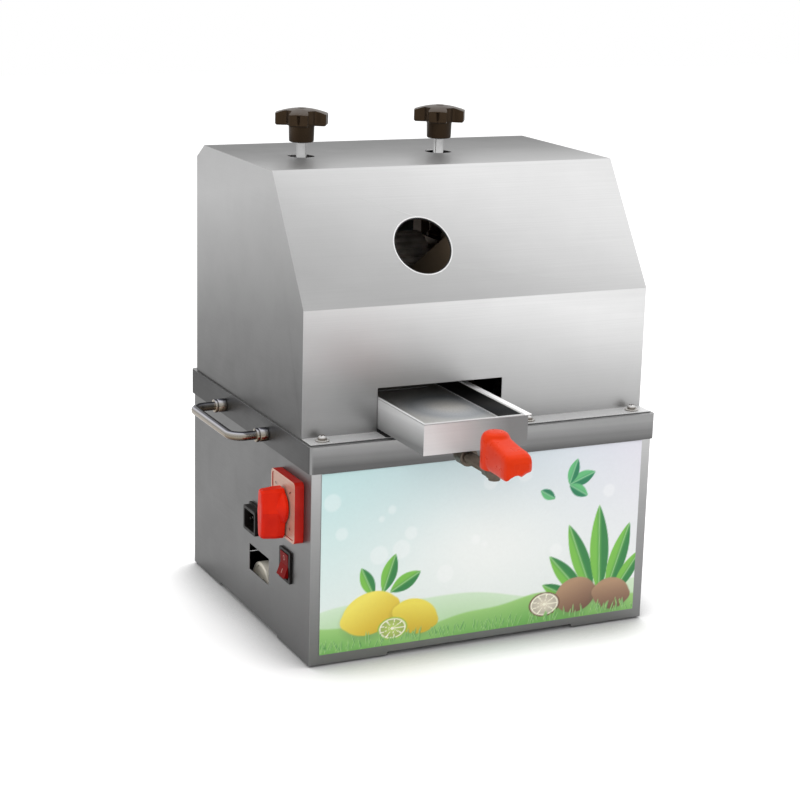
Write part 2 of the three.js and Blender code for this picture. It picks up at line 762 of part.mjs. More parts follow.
function cheek() {
  const half = cheekThickness / 2;
  const web = prismX(shapeOf(cheekOutline()), -half, half);
  const foot = deckTop + gap;
  const flange = block(
    -half, half + cheekFlange, millY - cheekFootHalf, millY + cheekFootHalf,
    foot, foot + cheekFlangeHeight);
  const ribEnd = half + cheekFlange - 3;
  const ribOutline = shapeOf([
    [0, foot], [ribEnd, foot], [ribEnd, foot + 10], [half, foot + 34], [0, foot + 34]]);
  const ribs = [-0.8, 0.8].map((share) => {
    const y = millY + share * cheekFootHalf;
    return prismY(ribOutline, y - 4, y + 4);
  });
  const bores = [frontAxisY, rearAxisY].map(
    (y) => rodX(bushRadius + gap, -half - 1, half + 1, y, lowerAxisZ, 24));
  const slotBottom = topAxisZ - blockHalfZ - gap;
  const slot = block(
    -half - 1, half + 1, millY - blockHalfY - gap, millY + blockHalfY + gap, slotBottom, cheekTop + 1);
  const ties = Object.values(tiePlaces()).map(
    ([y, z]) => rodX(tieEndRadius + gap, -half - 1, half + 1, y, z, 14));
  return cut(join(web, flange, ...ribs), ...bores, slot, ...ties);
}

function bearingBlock() {
  const half = cheekThickness / 2 + gap;
  const outer = half + blockCover;
  const body = block(-outer, outer, -blockHalfY, blockHalfY, -blockHalfZ, blockHalfZ);
  const coverY = blockHalfY + blockFlange;
  const coverZ = blockHalfZ - 3;
  const covers = [-outer, half].map((x) => block(x, x + blockCover, -coverY, coverY, -coverZ, coverZ));
  return cut(join(body, ...covers), rodX(journalRadius + gap, -30, 30, 0, 0, 20));
}

function bridge() {
  const half = cheekThickness / 2 + 5;
  const bottom = cheekTop + gap;
  const bar = block(-half, half, -cheekHeadHalf, cheekHeadHalf, bottom, bottom + bridgeHeight);
  const boss = revolve([
    [0, bottom + 1], [bossRadius + 2, bottom + 1], [bossRadius + 2, bottom + bridgeHeight],
    [bossRadius, bottom + bridgeHeight + bossHeight], [0, bottom + bridgeHeight + bossHeight]], axisZ, 20);
  const boltHeads = [-1, 1].map((side) => revolve([
    [0, bottom], [6.5, bottom], [6.5, bottom + bridgeHeight + 5], [0, bottom + bridgeHeight + 5]], axisZ, 6)
    .translate(0, side * (cheekHeadHalf - 10), 0));
  return cut(join(bar, boss, ...boltHeads), rodZ(screwRadius + gap, bottom - 1, bottom + 60, 0, 0, 18));
}

function tieBar(inside) {
  const [x0, x1] = [leftInner + gap, rightInner - gap];
  const end = cheekThickness;
  const profile = [
    [0, x0 - end], [tieEndRadius, x0 - end], [tieEndRadius, x0], [tieRadius, x0], [tieRadius, x1],
    [tieEndRadius, x1], [tieEndRadius, x1 + end], [0, x1 + end]];
  return revolve(profile, axisX, 16).translate(0, ...inside);
}

function bush() {
  const half = cheekThickness / 2;
  return revolve([
    [journalRadius + gap, -half], [bushRadius, -half], [bushRadius, half + gap],
    [bushFlangeRadius, half + gap], [bushFlangeRadius, half + gap + bushFlange],
    [journalRadius + gap, half + gap + bushFlange], [journalRadius + gap, -half]], axisX, 20);
}

// Turner bar: guides the crushed cane under the top roller, from the front nip to the rear nip
function turnerBar() {
  const reach = barrelRadius + turnerGap;
  const top = topAxisZ - reach;
  const bottom = top - turnerHeight;
  const steps = 6;
  const edge = (z) => lowerSpacing / 2 - Math.sqrt(Math.max(reach ** 2 - (z - lowerAxisZ) ** 2, 0));
  const crown = Math.min(edge(top), 12);
  const right = [];
  for (let k = 0; k <= steps; k += 1) {
    const z = bottom + ((top - bottom) * k) / steps;
    right.push([millY + Math.min(edge(z), crown), z]);
  }
  const left = right.map(([y, z]) => [2 * millY - y, z]).reverse();
  const bar = prismX(shapeOf([...right, ...left]), leftInner + gap, rightInner - gap);
  return cut(bar, rodX(reach, -200, 200, millY, topAxisZ, 48));
}

// Rollers and gears
function fluteOutline() {
  const points = [];
  const step = (2 * Math.PI) / fluteCount;
  const root = barrelRadius - fluteDepth;
  const flute = [[0, barrelRadius], [0.45, barrelRadius], [0.72, root]];
  for (let k = 0; k < fluteCount; k += 1) {
    for (const [share, radius] of flute) {
      const angle = (k + share) * step;
      points.push([radius * Math.cos(angle), radius * Math.sin(angle)]);
    }
  }
  return shapeOf(points);
}

// Round with a key standing out of it, for stubs and for the bores that fit over them
function keyedOutline(radius, width, height, sides = 16) {
  const points = [];
  const edge = Math.asin(width / 2 / radius);
  for (let k = 0; k <= sides; k += 1) {
    const angle = edge + ((2 * Math.PI - 2 * edge) * k) / sides;
    points.push([radius * Math.cos(angle), radius * Math.sin(angle)]);
  }
  points.push([radius + height, -width / 2], [radius + height, width / 2]);
  return shapeOf(points);
}

function roller(end) {
  const barrel = prismX(fluteOutline(), millX - barrelLength / 2, millX + barrelLength / 2);
  const clear = Math.max(bushFlange, blockCover) + 3 * gap;
  const shoulder = rodX(shoulderRadius, leftInner + clear, rightInner - clear, 0, 0, 16);
  const journal = rodX(
    journalRadius, leftScrewX - cheekThickness / 2 - 10, rightOuter + gearOffset - 0.8, 0, 0, 20);
  const stub = prismX(keyedOutline(stubRadius, keyWidth, keyHeight), rightOuter + gearOffset - 1, end);
  return join(barrel, shoulder, journal, stub);
}

// Spur gear outline with involute flanks; a tooth is centred on the angle phase
function gearOutline(module, teeth, backlash, phase, addendum = 1) {
  const pitch = (module * teeth) / 2;
  const base = pitch * Math.cos(pressureAngle);
  const tip = pitch + addendum * module;
  const root = pitch - 1.25 * module;
  const involute = (radius) => {
    const angle = Math.acos(Math.min(base / radius, 1));
    return Math.tan(angle) - angle;
  };
  const halfAtPitch = Math.PI / (2 * teeth) - backlash / (4 * pitch);
  const halfAt = (radius) => halfAtPitch + involute(pitch) - involute(Math.max(radius, base));
  // The flanks of a large gear are close to straight
  const radii = base > root ? [root, base, pitch, tip] : [root, tip];
  const points = [];
  for (let k = 0; k < teeth; k += 1) {
    const centre = phase + (2 * Math.PI * k) / teeth;
    for (const radius of radii) {
      const angle = centre - halfAt(radius);
      points.push([radius * Math.cos(angle), radius * Math.sin(angle)]);
    }
    for (const radius of [...radii].reverse()) {
      const angle = centre + halfAt(radius);
      points.push([radius * Math.cos(angle), radius * Math.sin(angle)]);
    }
  }
  return shapeOf(points);
}

// Phase of a gear that meshes with another one across the line of centres
function meshedPhase(phase, teeth, otherTeeth, lineAngle) {
  return lineAngle + Math.PI + Math.PI / otherTeeth - ((phase - lineAngle) * teeth) / otherTeeth;
}

const frontLine = Math.atan2(lowerAxisZ - topAxisZ, frontAxisY - millY);
const rearLine = Math.atan2(lowerAxisZ - topAxisZ, rearAxisY - millY);
const topPhase = Math.PI / 2;
const frontPhase = meshedPhase(topPhase, millTeeth, millTeeth, frontLine);
const rearPhase = meshedPhase(topPhase, millTeeth, millTeeth, rearLine);
const drivePhase = -Math.PI / 2;
const pinionLine = Math.atan2(motorShaftZ - lowerAxisZ, pinionY - frontAxisY);
const pinionPhase = meshedPhase(drivePhase, driveTeeth, pinionTeeth, pinionLine);

function keyedBore(width) {
  return prismX(keyedOutline(stubRadius + gap, keyWidth + 2 * gap, keyHeight + gap), -1, width + 1);
}

function millGear(phase) {
  const body = prismX(gearOutline(millModule, millTeeth, millBacklash, phase), 0, millGearWidth);
  return cut(body, keyedBore(millGearWidth));
}

function driveGear() {
  const outline = gearOutline(driveModule, driveTeeth, driveBacklash, drivePhase, 0.85);
  const body = prismX(outline, 0, driveGearWidth);
  const rim = (driveModule * driveTeeth) / 2 - 1.25 * driveModule - rimWidth;
  const side = (driveGearWidth - webThickness) / 2;
  const pocket = (x0, x1) => revolve(
    [[hubRadius, x0], [rim, x0], [rim, x1], [hubRadius, x1], [hubRadius, x0]], axisX, 32);
  const pockets = [pocket(-1, side), pocket(driveGearWidth - side, driveGearWidth + 1)];
  const holes = [0, 1, 2, 3, 4].map((k) => {
    const angle = (2 * Math.PI * k) / 5;
    const reach = (rim + hubRadius) / 2;
    return rodX(14, -1, driveGearWidth + 1, reach * Math.cos(angle), reach * Math.sin(angle), 14);
  });
  const hub = rodX(hubRadius - 2, -gearOffset + 2 * gap, 1, 0, 0, 20);
  const bore = keyedBore(driveGearWidth).translate(-gearOffset, 0, 0);
  return cut(join(cut(body, ...pockets, ...holes), hub), bore, keyedBore(driveGearWidth));
}

function pinion() {
  const width = driveGearWidth + 1;
  const teeth = prismX(gearOutline(driveModule, pinionTeeth, driveBacklash, pinionPhase), -0.5, width);
  const shaftStart = bracketX() - bracketThickness - outputDepth;
  return join(teeth, rodX(outputRadius, shaftStart - driveGearX, width + 2, 0, 0, 20));
}

// Pressure screw, with its foot on the bearing block
function pressureScrew() {
  const foot = topAxisZ + blockHalfZ + gap;
  const threadTop = cheekTop + bridgeHeight + bossHeight + 14;
  return revolve([
    [0, foot], [screwFootRadius - 1, foot], [screwFootRadius, foot + 1],
    [screwFootRadius, foot + screwFootHeight], [screwRadius, foot + screwFootHeight + 2],
    [screwRadius, threadTop - 2], [shankRadius, threadTop], [shankRadius, knobBottom + knobHubHeight],
    [0, knobBottom + knobHubHeight]], axisZ, 16);
}

function starKnob() {
  const headBottom = knobBottom + knobHubHeight;
  const top = headBottom + knobHeadHeight;
  const count = knobLobes * 6;
  const outline = [];
  for (let k = 0; k < count; k += 1) {
    const angle = (2 * Math.PI * k) / count;
    const wave = Math.abs(Math.cos((knobLobes * angle) / 2)) ** 0.8;
    const radius = knobStarRadius - knobLobeDepth * 2 * (1 - wave);
    outline.push([radius * Math.cos(angle), radius * Math.sin(angle)]);
  }
  const star = prismZ(shapeOf(outline), headBottom - 3, top + 1);
  const dome = revolve([
    [0, headBottom - 2], [knobHubRadius, headBottom - 2], [knobStarRadius - 2, headBottom],
    [knobStarRadius + 1, headBottom + 2], [knobStarRadius + 1, top - 5], [knobStarRadius - 1.5, top - 3.4],
    [knobStarRadius * 0.62, top - 1.2], [0, top]], axisZ, 24);
  const hub = revolve([
    [0, knobBottom], [knobHubRadius - 0.8, knobBottom], [knobHubRadius, knobBottom + 0.8],
    [knobHubRadius + 0.6, headBottom + 2], [0, headBottom + 2]], axisZ, 20);
  const bore = rodZ(shankRadius + gap, knobBottom - 1, headBottom + gap, 0, 0, 16);
  return cut(join(star.intersect(dome), hub), bore);
}

function mill() {
  const group = new THREE.Group();
  const leftCheek = placed(piece('left_cheek', cheek().mirror([1, 0, 0]), castIron), leftScrewX, 0, 0);
  const rightCheek = placed(piece('right_cheek', cheek(), castIron), rightScrewX, 0, 0);
  const ties = tiePlaces();
  group.add(leftCheek, rightCheek);
  group.add(piece('front_tie_bar', tieBar(ties.front), millSteel));
  group.add(piece('rear_tie_bar', tieBar(ties.rear), millSteel));
  group.add(piece('turner_bar', turnerBar(), millSteel));
  for (const [side, x] of [['left', leftScrewX], ['right', rightScrewX]]) {
    group.add(placed(piece(`${side}_bridge`, bridge(), castIron), x, millY, 0));
    group.add(placed(piece(`${side}_bearing_block`, bearingBlock(), bronze), x, millY, topAxisZ));
    group.add(placed(piece(`${side}_pressure_screw`, pressureScrew(), polishedSteel), x, millY, 0));
    group.add(placed(piece(`${side}_star_knob`, starKnob(), bakelite), x, millY, 0));
    for (const [end, y] of [['front', frontAxisY], ['rear', rearAxisY]]) {
      const solid = side === 'left' ? bush() : bush().mirror([1, 0, 0]);
      group.add(placed(piece(`${end}_${side}_bush`, solid, bronze), x, y, lowerAxisZ));
    }
  }
  const axes = [
    ['top', millY, topAxisZ, topPhase, stubEnd],
    ['front', frontAxisY, lowerAxisZ, frontPhase, driveGearX + driveGearWidth + 2],
    ['rear', rearAxisY, lowerAxisZ, rearPhase, stubEnd]];
  for (const [name, y, z, phase, end] of axes) {
    group.add(placed(piece(`${name}_roller`, roller(end), millSteel), 0, y, z));
    group.add(placed(piece(`${name}_gear`, millGear(phase), millSteel), millGearX, y, z));
  }
  group.add(placed(piece('drive_gear', driveGear(), millSteel), driveGearX, frontAxisY, lowerAxisZ));
  return group;
}

// Drive: a motor and gearhead hung on a bracket in the cabinet
function bracketX() {
  return driveGearX - bracketGap;
}

function gearMotor() {
  const face = bracketX() - bracketThickness - gap;
  const axisZ0 = motorShaftZ - shaftOffset;
  const head = prismX(
    roundedRectangle(gearheadSize, gearheadSize, 12, pinionY, axisZ0), face - gearheadLength, face, 3);
  const boss = rodX(outputBoss, face - 1, face + bracketThickness, pinionY, motorShaftZ, 20);
  const ribs = [];
  const rib = [[0, motorRadius], [0.4, motorRadius], [0.7, motorRadius - 4]];
  for (let k = 0; k < motorRibs; k += 1) {
    for (const [share, radius] of rib) {
      const angle = ((k + share) * 2 * Math.PI) / motorRibs;
      ribs.push([pinionY + radius * Math.cos(angle), axisZ0 + radius * Math.sin(angle)]);
    }
  }
  const start = face - gearheadLength;
  const body = prismX(shapeOf(ribs), start - motorLength + 18, start + 1);
  const bell = revolve([
    [0, -motorLength], [motorRadius - 16, -motorLength], [motorRadius - 5, -motorLength + 6],
    [motorRadius - 1, -motorLength + 19], [0, -motorLength + 19]], axisX, 24)
    .translate(start, pinionY, axisZ0);
  const bore = rodX(
    outputRadius + gap, face - outputDepth - 1, face + bracketThickness + 5, pinionY, motorShaftZ, 20);
  return cut(join(head, boss, body, bell), bore);
}

function motorBracket() {
  const x1 = bracketX();
  const x0 = x1 - bracketThickness;
  const bottom = baseTop + gap;
  const top = deckUnder - 4;
  const half = [
    [bracketHalf, bottom], [bracketHalf, bottom + 40], [gearheadSize / 2, top - 20],
    [gearheadSize / 2 - 20, top]];
  const mirrored = half.map(([y, z]) => [pinionY - y, z]).reverse();
  const plate = prismX(shapeOf([...half.map(([y, z]) => [pinionY + y, z]), ...mirrored]), x0, x1);
  const foot = block(
    x0, x1 + bracketFoot, pinionY - bracketHalf, pinionY + bracketHalf, bottom, bottom + bracketThickness);
  const toe = x1 + bracketFoot - 6;
  const gusset = shapeOf([
    [x0, bottom], [toe, bottom], [toe, bottom + 8], [x1, bottom + 70], [x0, bottom + 70]]);
  const gussets = [-1, 1].map((side) => {
    const y = pinionY + side * (bracketHalf - 3);
    return prismY(gusset, y - 3, y + 3);
  });
  const bore = rodX(outputBoss + gap, x0 - 1, x1 + 1, pinionY, motorShaftZ, 20);
  return cut(join(plate, foot, ...gussets), bore);
}

function capacitor() {
  const x0 = -sideX + sheet + capacitorGap;
  const r = capacitorRadius;
  return revolve([
    [0, 0], [r - 4, 0], [r, 3], [r, capacitorLength - 2], [r - 2, capacitorLength], [0, capacitorLength]],
    axisX, 24).translate(x0, frontY + capacitorSetback, baseTop + gap + r);
}

function drive() {
  const group = new THREE.Group();
  group.add(piece('gear_motor', gearMotor(), motorPaint));
  group.add(piece('motor_bracket', motorBracket(), millSteel));
  group.add(placed(piece('drive_pinion', pinion(), millSteel), driveGearX, pinionY, motorShaftZ));
  group.add(piece('run_capacitor', capacitor(), creamPlastic));
  return group;
}

// Juice tray, its strainer pan, the rails that it slides on and the guide above its right edge
function juiceTray() {
  const box = block(trayLeft, trayRight, trayFront, trayBack, trayBottom, trayTop);
  const inside = block(
    trayLeft + sheet, trayRight - sheet, trayFront + sheet, trayBack - sheet,
    trayBottom + sheet, trayTop + 1);
  const drainY = trayFront + drainSetback;
  const drain = rodZ(pipeRadius + 1 + gap, trayBottom - 1, trayBottom + 2 * sheet, drainX, drainY, 20);
  return cut(box, inside, drain);
}

function strainerPan() {
  const fit = sheet + gap;
  const [x0, x1] = [trayLeft + fit, trayRight - fit];
  const panBack = trayBack - panFingerGap;
  const [y0, y1] = [trayFront + fit, panBack - fit];
  const rimZ = trayTop + gap;
  const floor = rimZ + 1 - panDepth;
  const body = block(x0, x1, y0, y1, floor, rimZ + 1);
  const rim = block(
    trayLeft, trayRight + panFlange - panRim, trayFront, panBack, rimZ, rimZ + 1);
  const inside = block(x0 + sheet, x1 - sheet, y0 + sheet, y1 - sheet, floor + sheet, rimZ + 2);
  const slots = [];
  for (let k = 0; k < panSlots; k += 1) {
    const y = panSlotStart + k * panSlotPitch;
    const shape = roundedRectangle(panSlotLength, panSlotWidth, panSlotWidth / 2 - 0.01, (x0 + x1) / 2, y);
    slots.push(prismZ(shape, floor - 1, floor + 2 * sheet, 2));
  }
  return cut(join(body, rim), inside, ...slots);
}

function trayRails() {
  const z0 = deckTop + gap;
  const z1 = trayBottom - gap;
  const [y0, y1] = [hoodFront + sheet + 1, trayBack];
  const left = block(trayLeft + gap, trayLeft + railWidth, y0, y1, z0, z1);
  const lipX = trayRight + gap;
  const flat = block(trayRight - railWidth, lipX + railLip, y0, y1, z0, z1);
  const lip = block(lipX, lipX + railLip, y0, y1, z0, z0 + railLipHeight);
  return { left, right: join(flat, lip) };
}

function dripGuide() {
  const [y0, y1] = [millY - cheekHalf + dripInset, millY + cheekHalf - dripInset];
  const wallX = rightInner - gap;
  const low = trayTop + gap + 1 + gap;
  const start = trayRight - dripOverlap;
  const top = low + dripSlope + dripWall;
  return prismY(shapeOf([
    [start, low], [wallX, low + dripSlope], [wallX, top],
    [wallX - sheet, top], [wallX - sheet, low + dripSlope + sheet - 0.1],
    [start, low + sheet]]), y0, y1);
}

// Drain and tap
function drainElbow() {
  const y = trayFront + drainSetback;
  const under = trayBottom - gap;
  const floor = trayBottom + sheet + gap;
  const neck = rodZ(pipeRadius + 1, pipeZ, floor + 1, drainX, y, 12);
  const nut = rodZ(elbowRadius + 2, floor, floor + 3, drainX, y, 6);
  const collar = rodZ(elbowRadius + 1, under - 2.5, under, drainX, y, 14);
  const knee = ball(elbowRadius, drainX, y, pipeZ, 12);
  const end = y - elbowRadius - 4;
  const socket = rodY(elbowRadius, end, y, drainX, pipeZ, 8);
  const body = join(neck, nut, collar, knee, socket).trimByPlane([0, 0, -1], -under);
  const above = join(neck, nut).trimByPlane([0, 0, 1], under - 1);
  const bores = [
    rodZ(boreRadius, pipeZ, floor + 5, drainX, y, 12),
    rodY(boreRadius, end - 1, y, drainX, pipeZ, 12),
    rodY(pipeRadius + gap, end - 1, y - elbowRadius + 4, drainX, pipeZ, 16)];
  return cut(join(body, above), ...bores);
}

function nipple() {
  const y1 = trayFront + drainSetback - elbowRadius + 4 - gap;
  const y0 = tapY + valveRadius - 2 + gap;
  const pipe = rodY(pipeRadius, y0, y1, drainX, pipeZ, 16);
  return cut(pipe, rodY(boreRadius, y0 - 1, y1 + 1, drainX, pipeZ, 12));
}

function valveBody() {
  const bonnetTop = pipeZ + bonnetRise;
  const mouth = pipeZ - spoutDrop;
  const collar = rodY(valveRadius, tapY, tapY + valveCollar, drainX, pipeZ, 6);
  const chamber = ball(valveRadius, drainX, tapY, pipeZ, 14);
  const bonnet = rodZ(bonnetRadius, pipeZ, bonnetTop, drainX, tapY, 6);
  const spout = rodZ(spoutRadius, mouth, pipeZ, drainX, tapY, 14);
  const bead = rodZ(spoutRadius + 0.8, mouth, mouth + 2, drainX, tapY, 14);
  const bores = [
    rodY(boreRadius, tapY, tapY + valveCollar, drainX, pipeZ, 12),
    rodY(pipeRadius + gap, tapY + valveRadius - 2, tapY + valveCollar + 1, drainX, pipeZ, 16),
    rodZ(boreRadius, mouth - 1, pipeZ, drainX, tapY, 12),
    rodZ(stemRadius + gap, pipeZ + 2, bonnetTop + 1, drainX, tapY, 14)];
  return cut(join(collar, chamber, bonnet, spout, bead), ...bores);
}

// Lever: a hub over the bonnet and a grip with side skirts. The skirts leave out the side that
// passes over the valve's hexagon as the lever is turned.
function tapLever() {
  const [top, gripTop, length] = [leverHeight, leverGripHeight, leverLength];
  const hub = revolve([
    [0, 0], [leverHubRadius, 0], [leverHubRadius, top - 5], [leverHubRadius - 2, top - 1.5],
    [leverHubRadius - 6, top], [0, top]], axisZ, 20);
  const root = leverHubRadius - leverWall;
  const grip = new THREE.Shape();
  grip.moveTo(root, 0);
  grip.quadraticCurveTo(root - 2, -length * 0.45, leverTipHalf, -length * 0.7);
  grip.quadraticCurveTo(leverTipHalf + 1, -length, 0, -length);
  grip.quadraticCurveTo(-leverTipHalf - 1, -length, -leverTipHalf, -length * 0.7);
  grip.quadraticCurveTo(2 - root, -length * 0.45, -root, 0);
  const slab = prismZ(grip, 0, gripTop, 4);
  const crown = prismX(shapeOf([
    [0, 0], [0, gripTop], [-length * 0.5, gripTop - 1.5], [-length * 0.85, gripTop - 0.5],
    [-length - 1, gripTop - 5], [-length - 1, 0]]), -2 * leverHubRadius, 2 * leverHubRadius);
  const ceiling = bonnetRise - leverRise + 4;
  const hollow = rodZ(root, -1, ceiling, 0, 0, 14);
  const pocketHalf = leverTipHalf - leverWall;
  const pocket = block(
    -pocketHalf, pocketHalf, leverWall + 1 - length, 1 - root, -1, gripTop - leverWall - 1);
  const arch = rodY(pocketHalf - 1, -length - 1, leverWall + 2 - length, 0, 0, 14);
  const clear = valveRadius + 2 * gap;
  const sweep = block(
    -clear, 2 * leverHubRadius, -clear, 2 * leverHubRadius, -1, valveRadius - leverRise + 2 * gap);
  const stem = rodZ(stemRadius, 1.5, ceiling + 1, 0, 0, 14);
  return join(cut(join(hub, slab.intersect(crown)), hollow, pocket, arch, sweep), stem);
}

function traySet() {
  const group = new THREE.Group();
  const rails = trayRails();
  group.add(piece('left_tray_rail', rails.left, brushedSteel));
  group.add(piece('right_tray_rail', rails.right, brushedSteel));
  group.add(piece('drip_guide', dripGuide(), brushedSteel));
  group.add(piece('juice_tray', juiceTray(), polishedSteel));
  group.add(piece('strainer_pan', strainerPan(), polishedSteel));
  group.add(piece('drain_elbow', drainElbow(), brass));
  group.add(piece('drain_nipple', nipple(), brass));
  group.add(piece('valve_body', valveBody(), brass));
  group.add(placed(piece('tap_lever', tapLever(), tapRed), drainX, tapY, leverBottom));
  return group;
}

// Rotary switch: body behind the panel, plate in front of it and a bar knob on its spindle
function switchBody() {
  const x1 = -sideX + sheet + gap + switchBodyDepth;
  const body = prismX(
    roundedRectangle(switchBodySize, switchBodySize, 3, switchY, switchZ), -sideX + sheet + gap, x1, 2);
  const neck = rodX(switchBodySize * 0.36, -sideX, -sideX + 4, switchY, switchZ, 24);
  return cut(join(body, neck), rodX(spindleRadius + gap, -sideX - 1, -sideX + 16, switchY, switchZ, 16));
}

function switchPlate() {
  const [x0, x1] = [-sideX - gap - switchPlateThickness, -sideX - gap];
  const outer = prismX(
    roundedRectangle(switchPlateSize, switchPlateSize, 5, switchY, switchZ), x0, x1, 3);
  const face = prismX(
    roundedRectangle(switchPlateSize - 6, switchPlateSize - 6, 3, switchY, switchZ), x0 - 1, x0 + 0.8, 3);
  return cut(outer, face, rodX(spindleRadius + gap + 1, x0 - 1, x1 + 1, switchY, switchZ, 16));
}

function switchKnob() {
  const r = switchBaseRadius;
  const baseTopX = switchBaseHeight;
  const base = revolve([
    [0, 0], [r, 0], [r, baseTopX * 0.5], [r - 3, baseTopX], [0, baseTopX]], axisX, 24);
  const half = switchBarLength / 2;
  const waist = [[1, 0], [0.9, 0.6], [0.6, 1], [-0.6, 1], [-0.9, 0.6]];
  const upper = waist.map(([u, v]) => [u * switchBarHalf, v * half]);
  const outline = [...upper, ...upper.map(([y, z]) => [-y, -z])];
  const top = switchBaseHeight + switchBarHeight;
  const bar = prismX(shapeOf(outline), 1, top);
  const crown = prismY(shapeOf([
    [0, -half - 1], [0, half + 1], [top - 4, half + 1], [top, half - 3], [top, 3 - half],
    [top - 4, -half - 1]]), -20, 20);
  const neck = revolve([
    [0, switchBaseHeight - 1], [r - 4, switchBaseHeight - 1], [switchBarHalf + 3, switchBaseHeight + 6],
    [switchBarHalf - 1, switchBaseHeight + 12], [0, switchBaseHeight + 12]], axisX, 24);
  const spindle = rodX(spindleRadius, -switchPlateThickness - 14, 1, 0, 0, 12);
  return join(base, bar.intersect(crown), neck, spindle);
}

// Rocker switch; the rocker turns on pins in its housing
function rockerHousing() {
  const bezelBack = -sideX - gap;
  const bezel = prismX(
    roundedRectangle(rockerBezelY, rockerBezelZ, 1.5, rockerY, rockerZ),
    bezelBack - rockerBezelThickness, bezelBack, 2);
  const body = prismX(
    roundedRectangle(rockerBezelY - 3 - 2 * gap, rockerBezelZ - 3 - 2 * gap, 1, rockerY, rockerZ),
    bezelBack - 1, bezelBack + rockerDepth, 1);
  const well = block(
    bezelBack - rockerBezelThickness - 1, bezelBack + 11, rockerY - rockerOpeningY / 2,
    rockerY + rockerOpeningY / 2, rockerZ - rockerOpeningZ / 2, rockerZ + rockerOpeningZ / 2);
  const pins = rodY(1.5 + gap, rockerY - rockerOpeningY / 2 - 1.6, rockerY + rockerOpeningY / 2 + 1.6,
    rockerPivotX(), rockerZ, 12);
  return cut(join(bezel, body), well, pins);
}

function rockerPivotX() {
  return -sideX - gap + 3;
}

function rocker() {
  const half = rockerOpeningZ / 2 - 1.2;
  const width = rockerOpeningY / 2 - gap;
  const outline = shapeOf([
    [-8.2, -half], [-5.6, 0], [-8.2, half], [0, half - 1.5], [4, half * 0.5], [5, 0],
    [4, -half * 0.5], [0, 1.5 - half]]);
  const paddle = prismY(outline, -width, width);
  const pins = rodY(1.5, -width - 1.4, width + 1.4, 0, 0, 10);
  return join(paddle, pins).rotate([0, THREE.MathUtils.radToDeg(rockerTilt), 0]);
}

function mainsInlet() {
  const panel = -sideX - gap;
  const outer = (width, height, x0, x1) => prismX(
    roundedRectangle(width, height, 2, inletSocketY, inletSocketZ), x0, x1, 1);
  const flange = outer(inletSocketWidth, inletSocketHeight, panel - 3, panel);
  const shroud = outer(inletSocketWidth - 5, inletSocketHeight - 4, panel - inletSocketReach, panel - 1);
  const front = panel - inletSocketReach;
  const fit = 2 * gap;
  const body = outer(inletSocketWidth - 8 - fit, inletSocketHeight - 5 - fit, panel - 1, panel + 20);
  const well = outer(inletSocketWidth - 12, inletSocketHeight - 11, front - 1, panel + 6);
  const blades = [[-8, 0], [0, 3], [8, 0]].map(([dy, dz]) => block(
    panel - inletSocketReach + 4, panel + 7, inletSocketY + dy - 2, inletSocketY + dy + 2,
    inletSocketZ + dz - 1, inletSocketZ + dz + 1));
  return join(cut(join(flange, shroud, body), well), ...blades);
}

function controls() {
  const group = new THREE.Group();
  group.add(piece('switch_body', switchBody(), blackPlastic));
  group.add(piece('switch_plate', switchPlate(), redPlastic));
  const knobX = -sideX - 2 * gap - switchPlateThickness;
  const knob = placed(piece('switch_knob', switchKnob(), redPlastic), knobX, switchY, switchZ);
  knob.rotation.z = Math.PI;
  group.add(knob);
  group.add(piece('rocker_housing', rockerHousing(), blackPlastic));
  group.add(placed(piece('rocker', rocker(), rockerRed), rockerPivotX(), rockerY, rockerZ));
  group.add(piece('mains_inlet', mainsInlet(), blackPlastic));
  return group;
}

function hood() {
  const group = new THREE.Group();
  group.add(piece('hood', hoodSolid(), brushedSteel));
  group.add(piece('feed_chute', feedChute(), brushedSteel));
  group.add(piece('bagasse_chute', bagasseChute(), brushedSteel));
  return group;
}

const juicer = new THREE.Group();
juicer.add(cabinet(), deck(), hood(), mill(), drive(), traySet(), controls());
juicer.position.y = -(tapFront + chuteRear) / 2;

export default juicer;
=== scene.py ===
import math

import bpy
import numpy as np
from mathutils import Matrix, Vector

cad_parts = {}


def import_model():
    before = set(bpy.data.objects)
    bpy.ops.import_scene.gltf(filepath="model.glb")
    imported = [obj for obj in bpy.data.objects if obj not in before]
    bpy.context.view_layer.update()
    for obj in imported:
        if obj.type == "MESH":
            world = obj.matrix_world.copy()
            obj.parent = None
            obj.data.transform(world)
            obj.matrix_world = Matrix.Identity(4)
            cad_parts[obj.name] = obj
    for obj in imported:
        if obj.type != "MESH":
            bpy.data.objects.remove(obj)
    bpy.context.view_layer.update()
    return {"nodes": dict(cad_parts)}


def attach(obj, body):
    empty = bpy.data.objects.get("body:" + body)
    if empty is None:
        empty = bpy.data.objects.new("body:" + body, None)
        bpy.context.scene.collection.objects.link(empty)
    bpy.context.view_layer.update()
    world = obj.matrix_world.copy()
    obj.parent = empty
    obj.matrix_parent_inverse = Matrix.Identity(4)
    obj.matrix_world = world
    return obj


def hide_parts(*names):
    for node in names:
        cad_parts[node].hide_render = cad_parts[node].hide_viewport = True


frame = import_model()
nodes = frame["nodes"]

SHIFT = 83.0  # mm from the cabinet's middle to the origin, along Y
FRONT, BACK, LEFT, RIGHT = (0, -1, 0), (0, 1, 0), (-1, 0, 0), (1, 0, 0)
UP, DOWN = (0, 0, 1), (0, 0, -1)
SLOPE = (0, -0.822, 0.5695)  # the way the hood's sloped front looks
WHITE = (1.0, 1.0, 1.0, 1.0)


def at(x, y, z):
    """A point in metres in the row frame, from mm measured from the cabinet's middle."""
    return Vector((x / 1000, (y + SHIFT) / 1000, z / 1000))


# Colours and materials

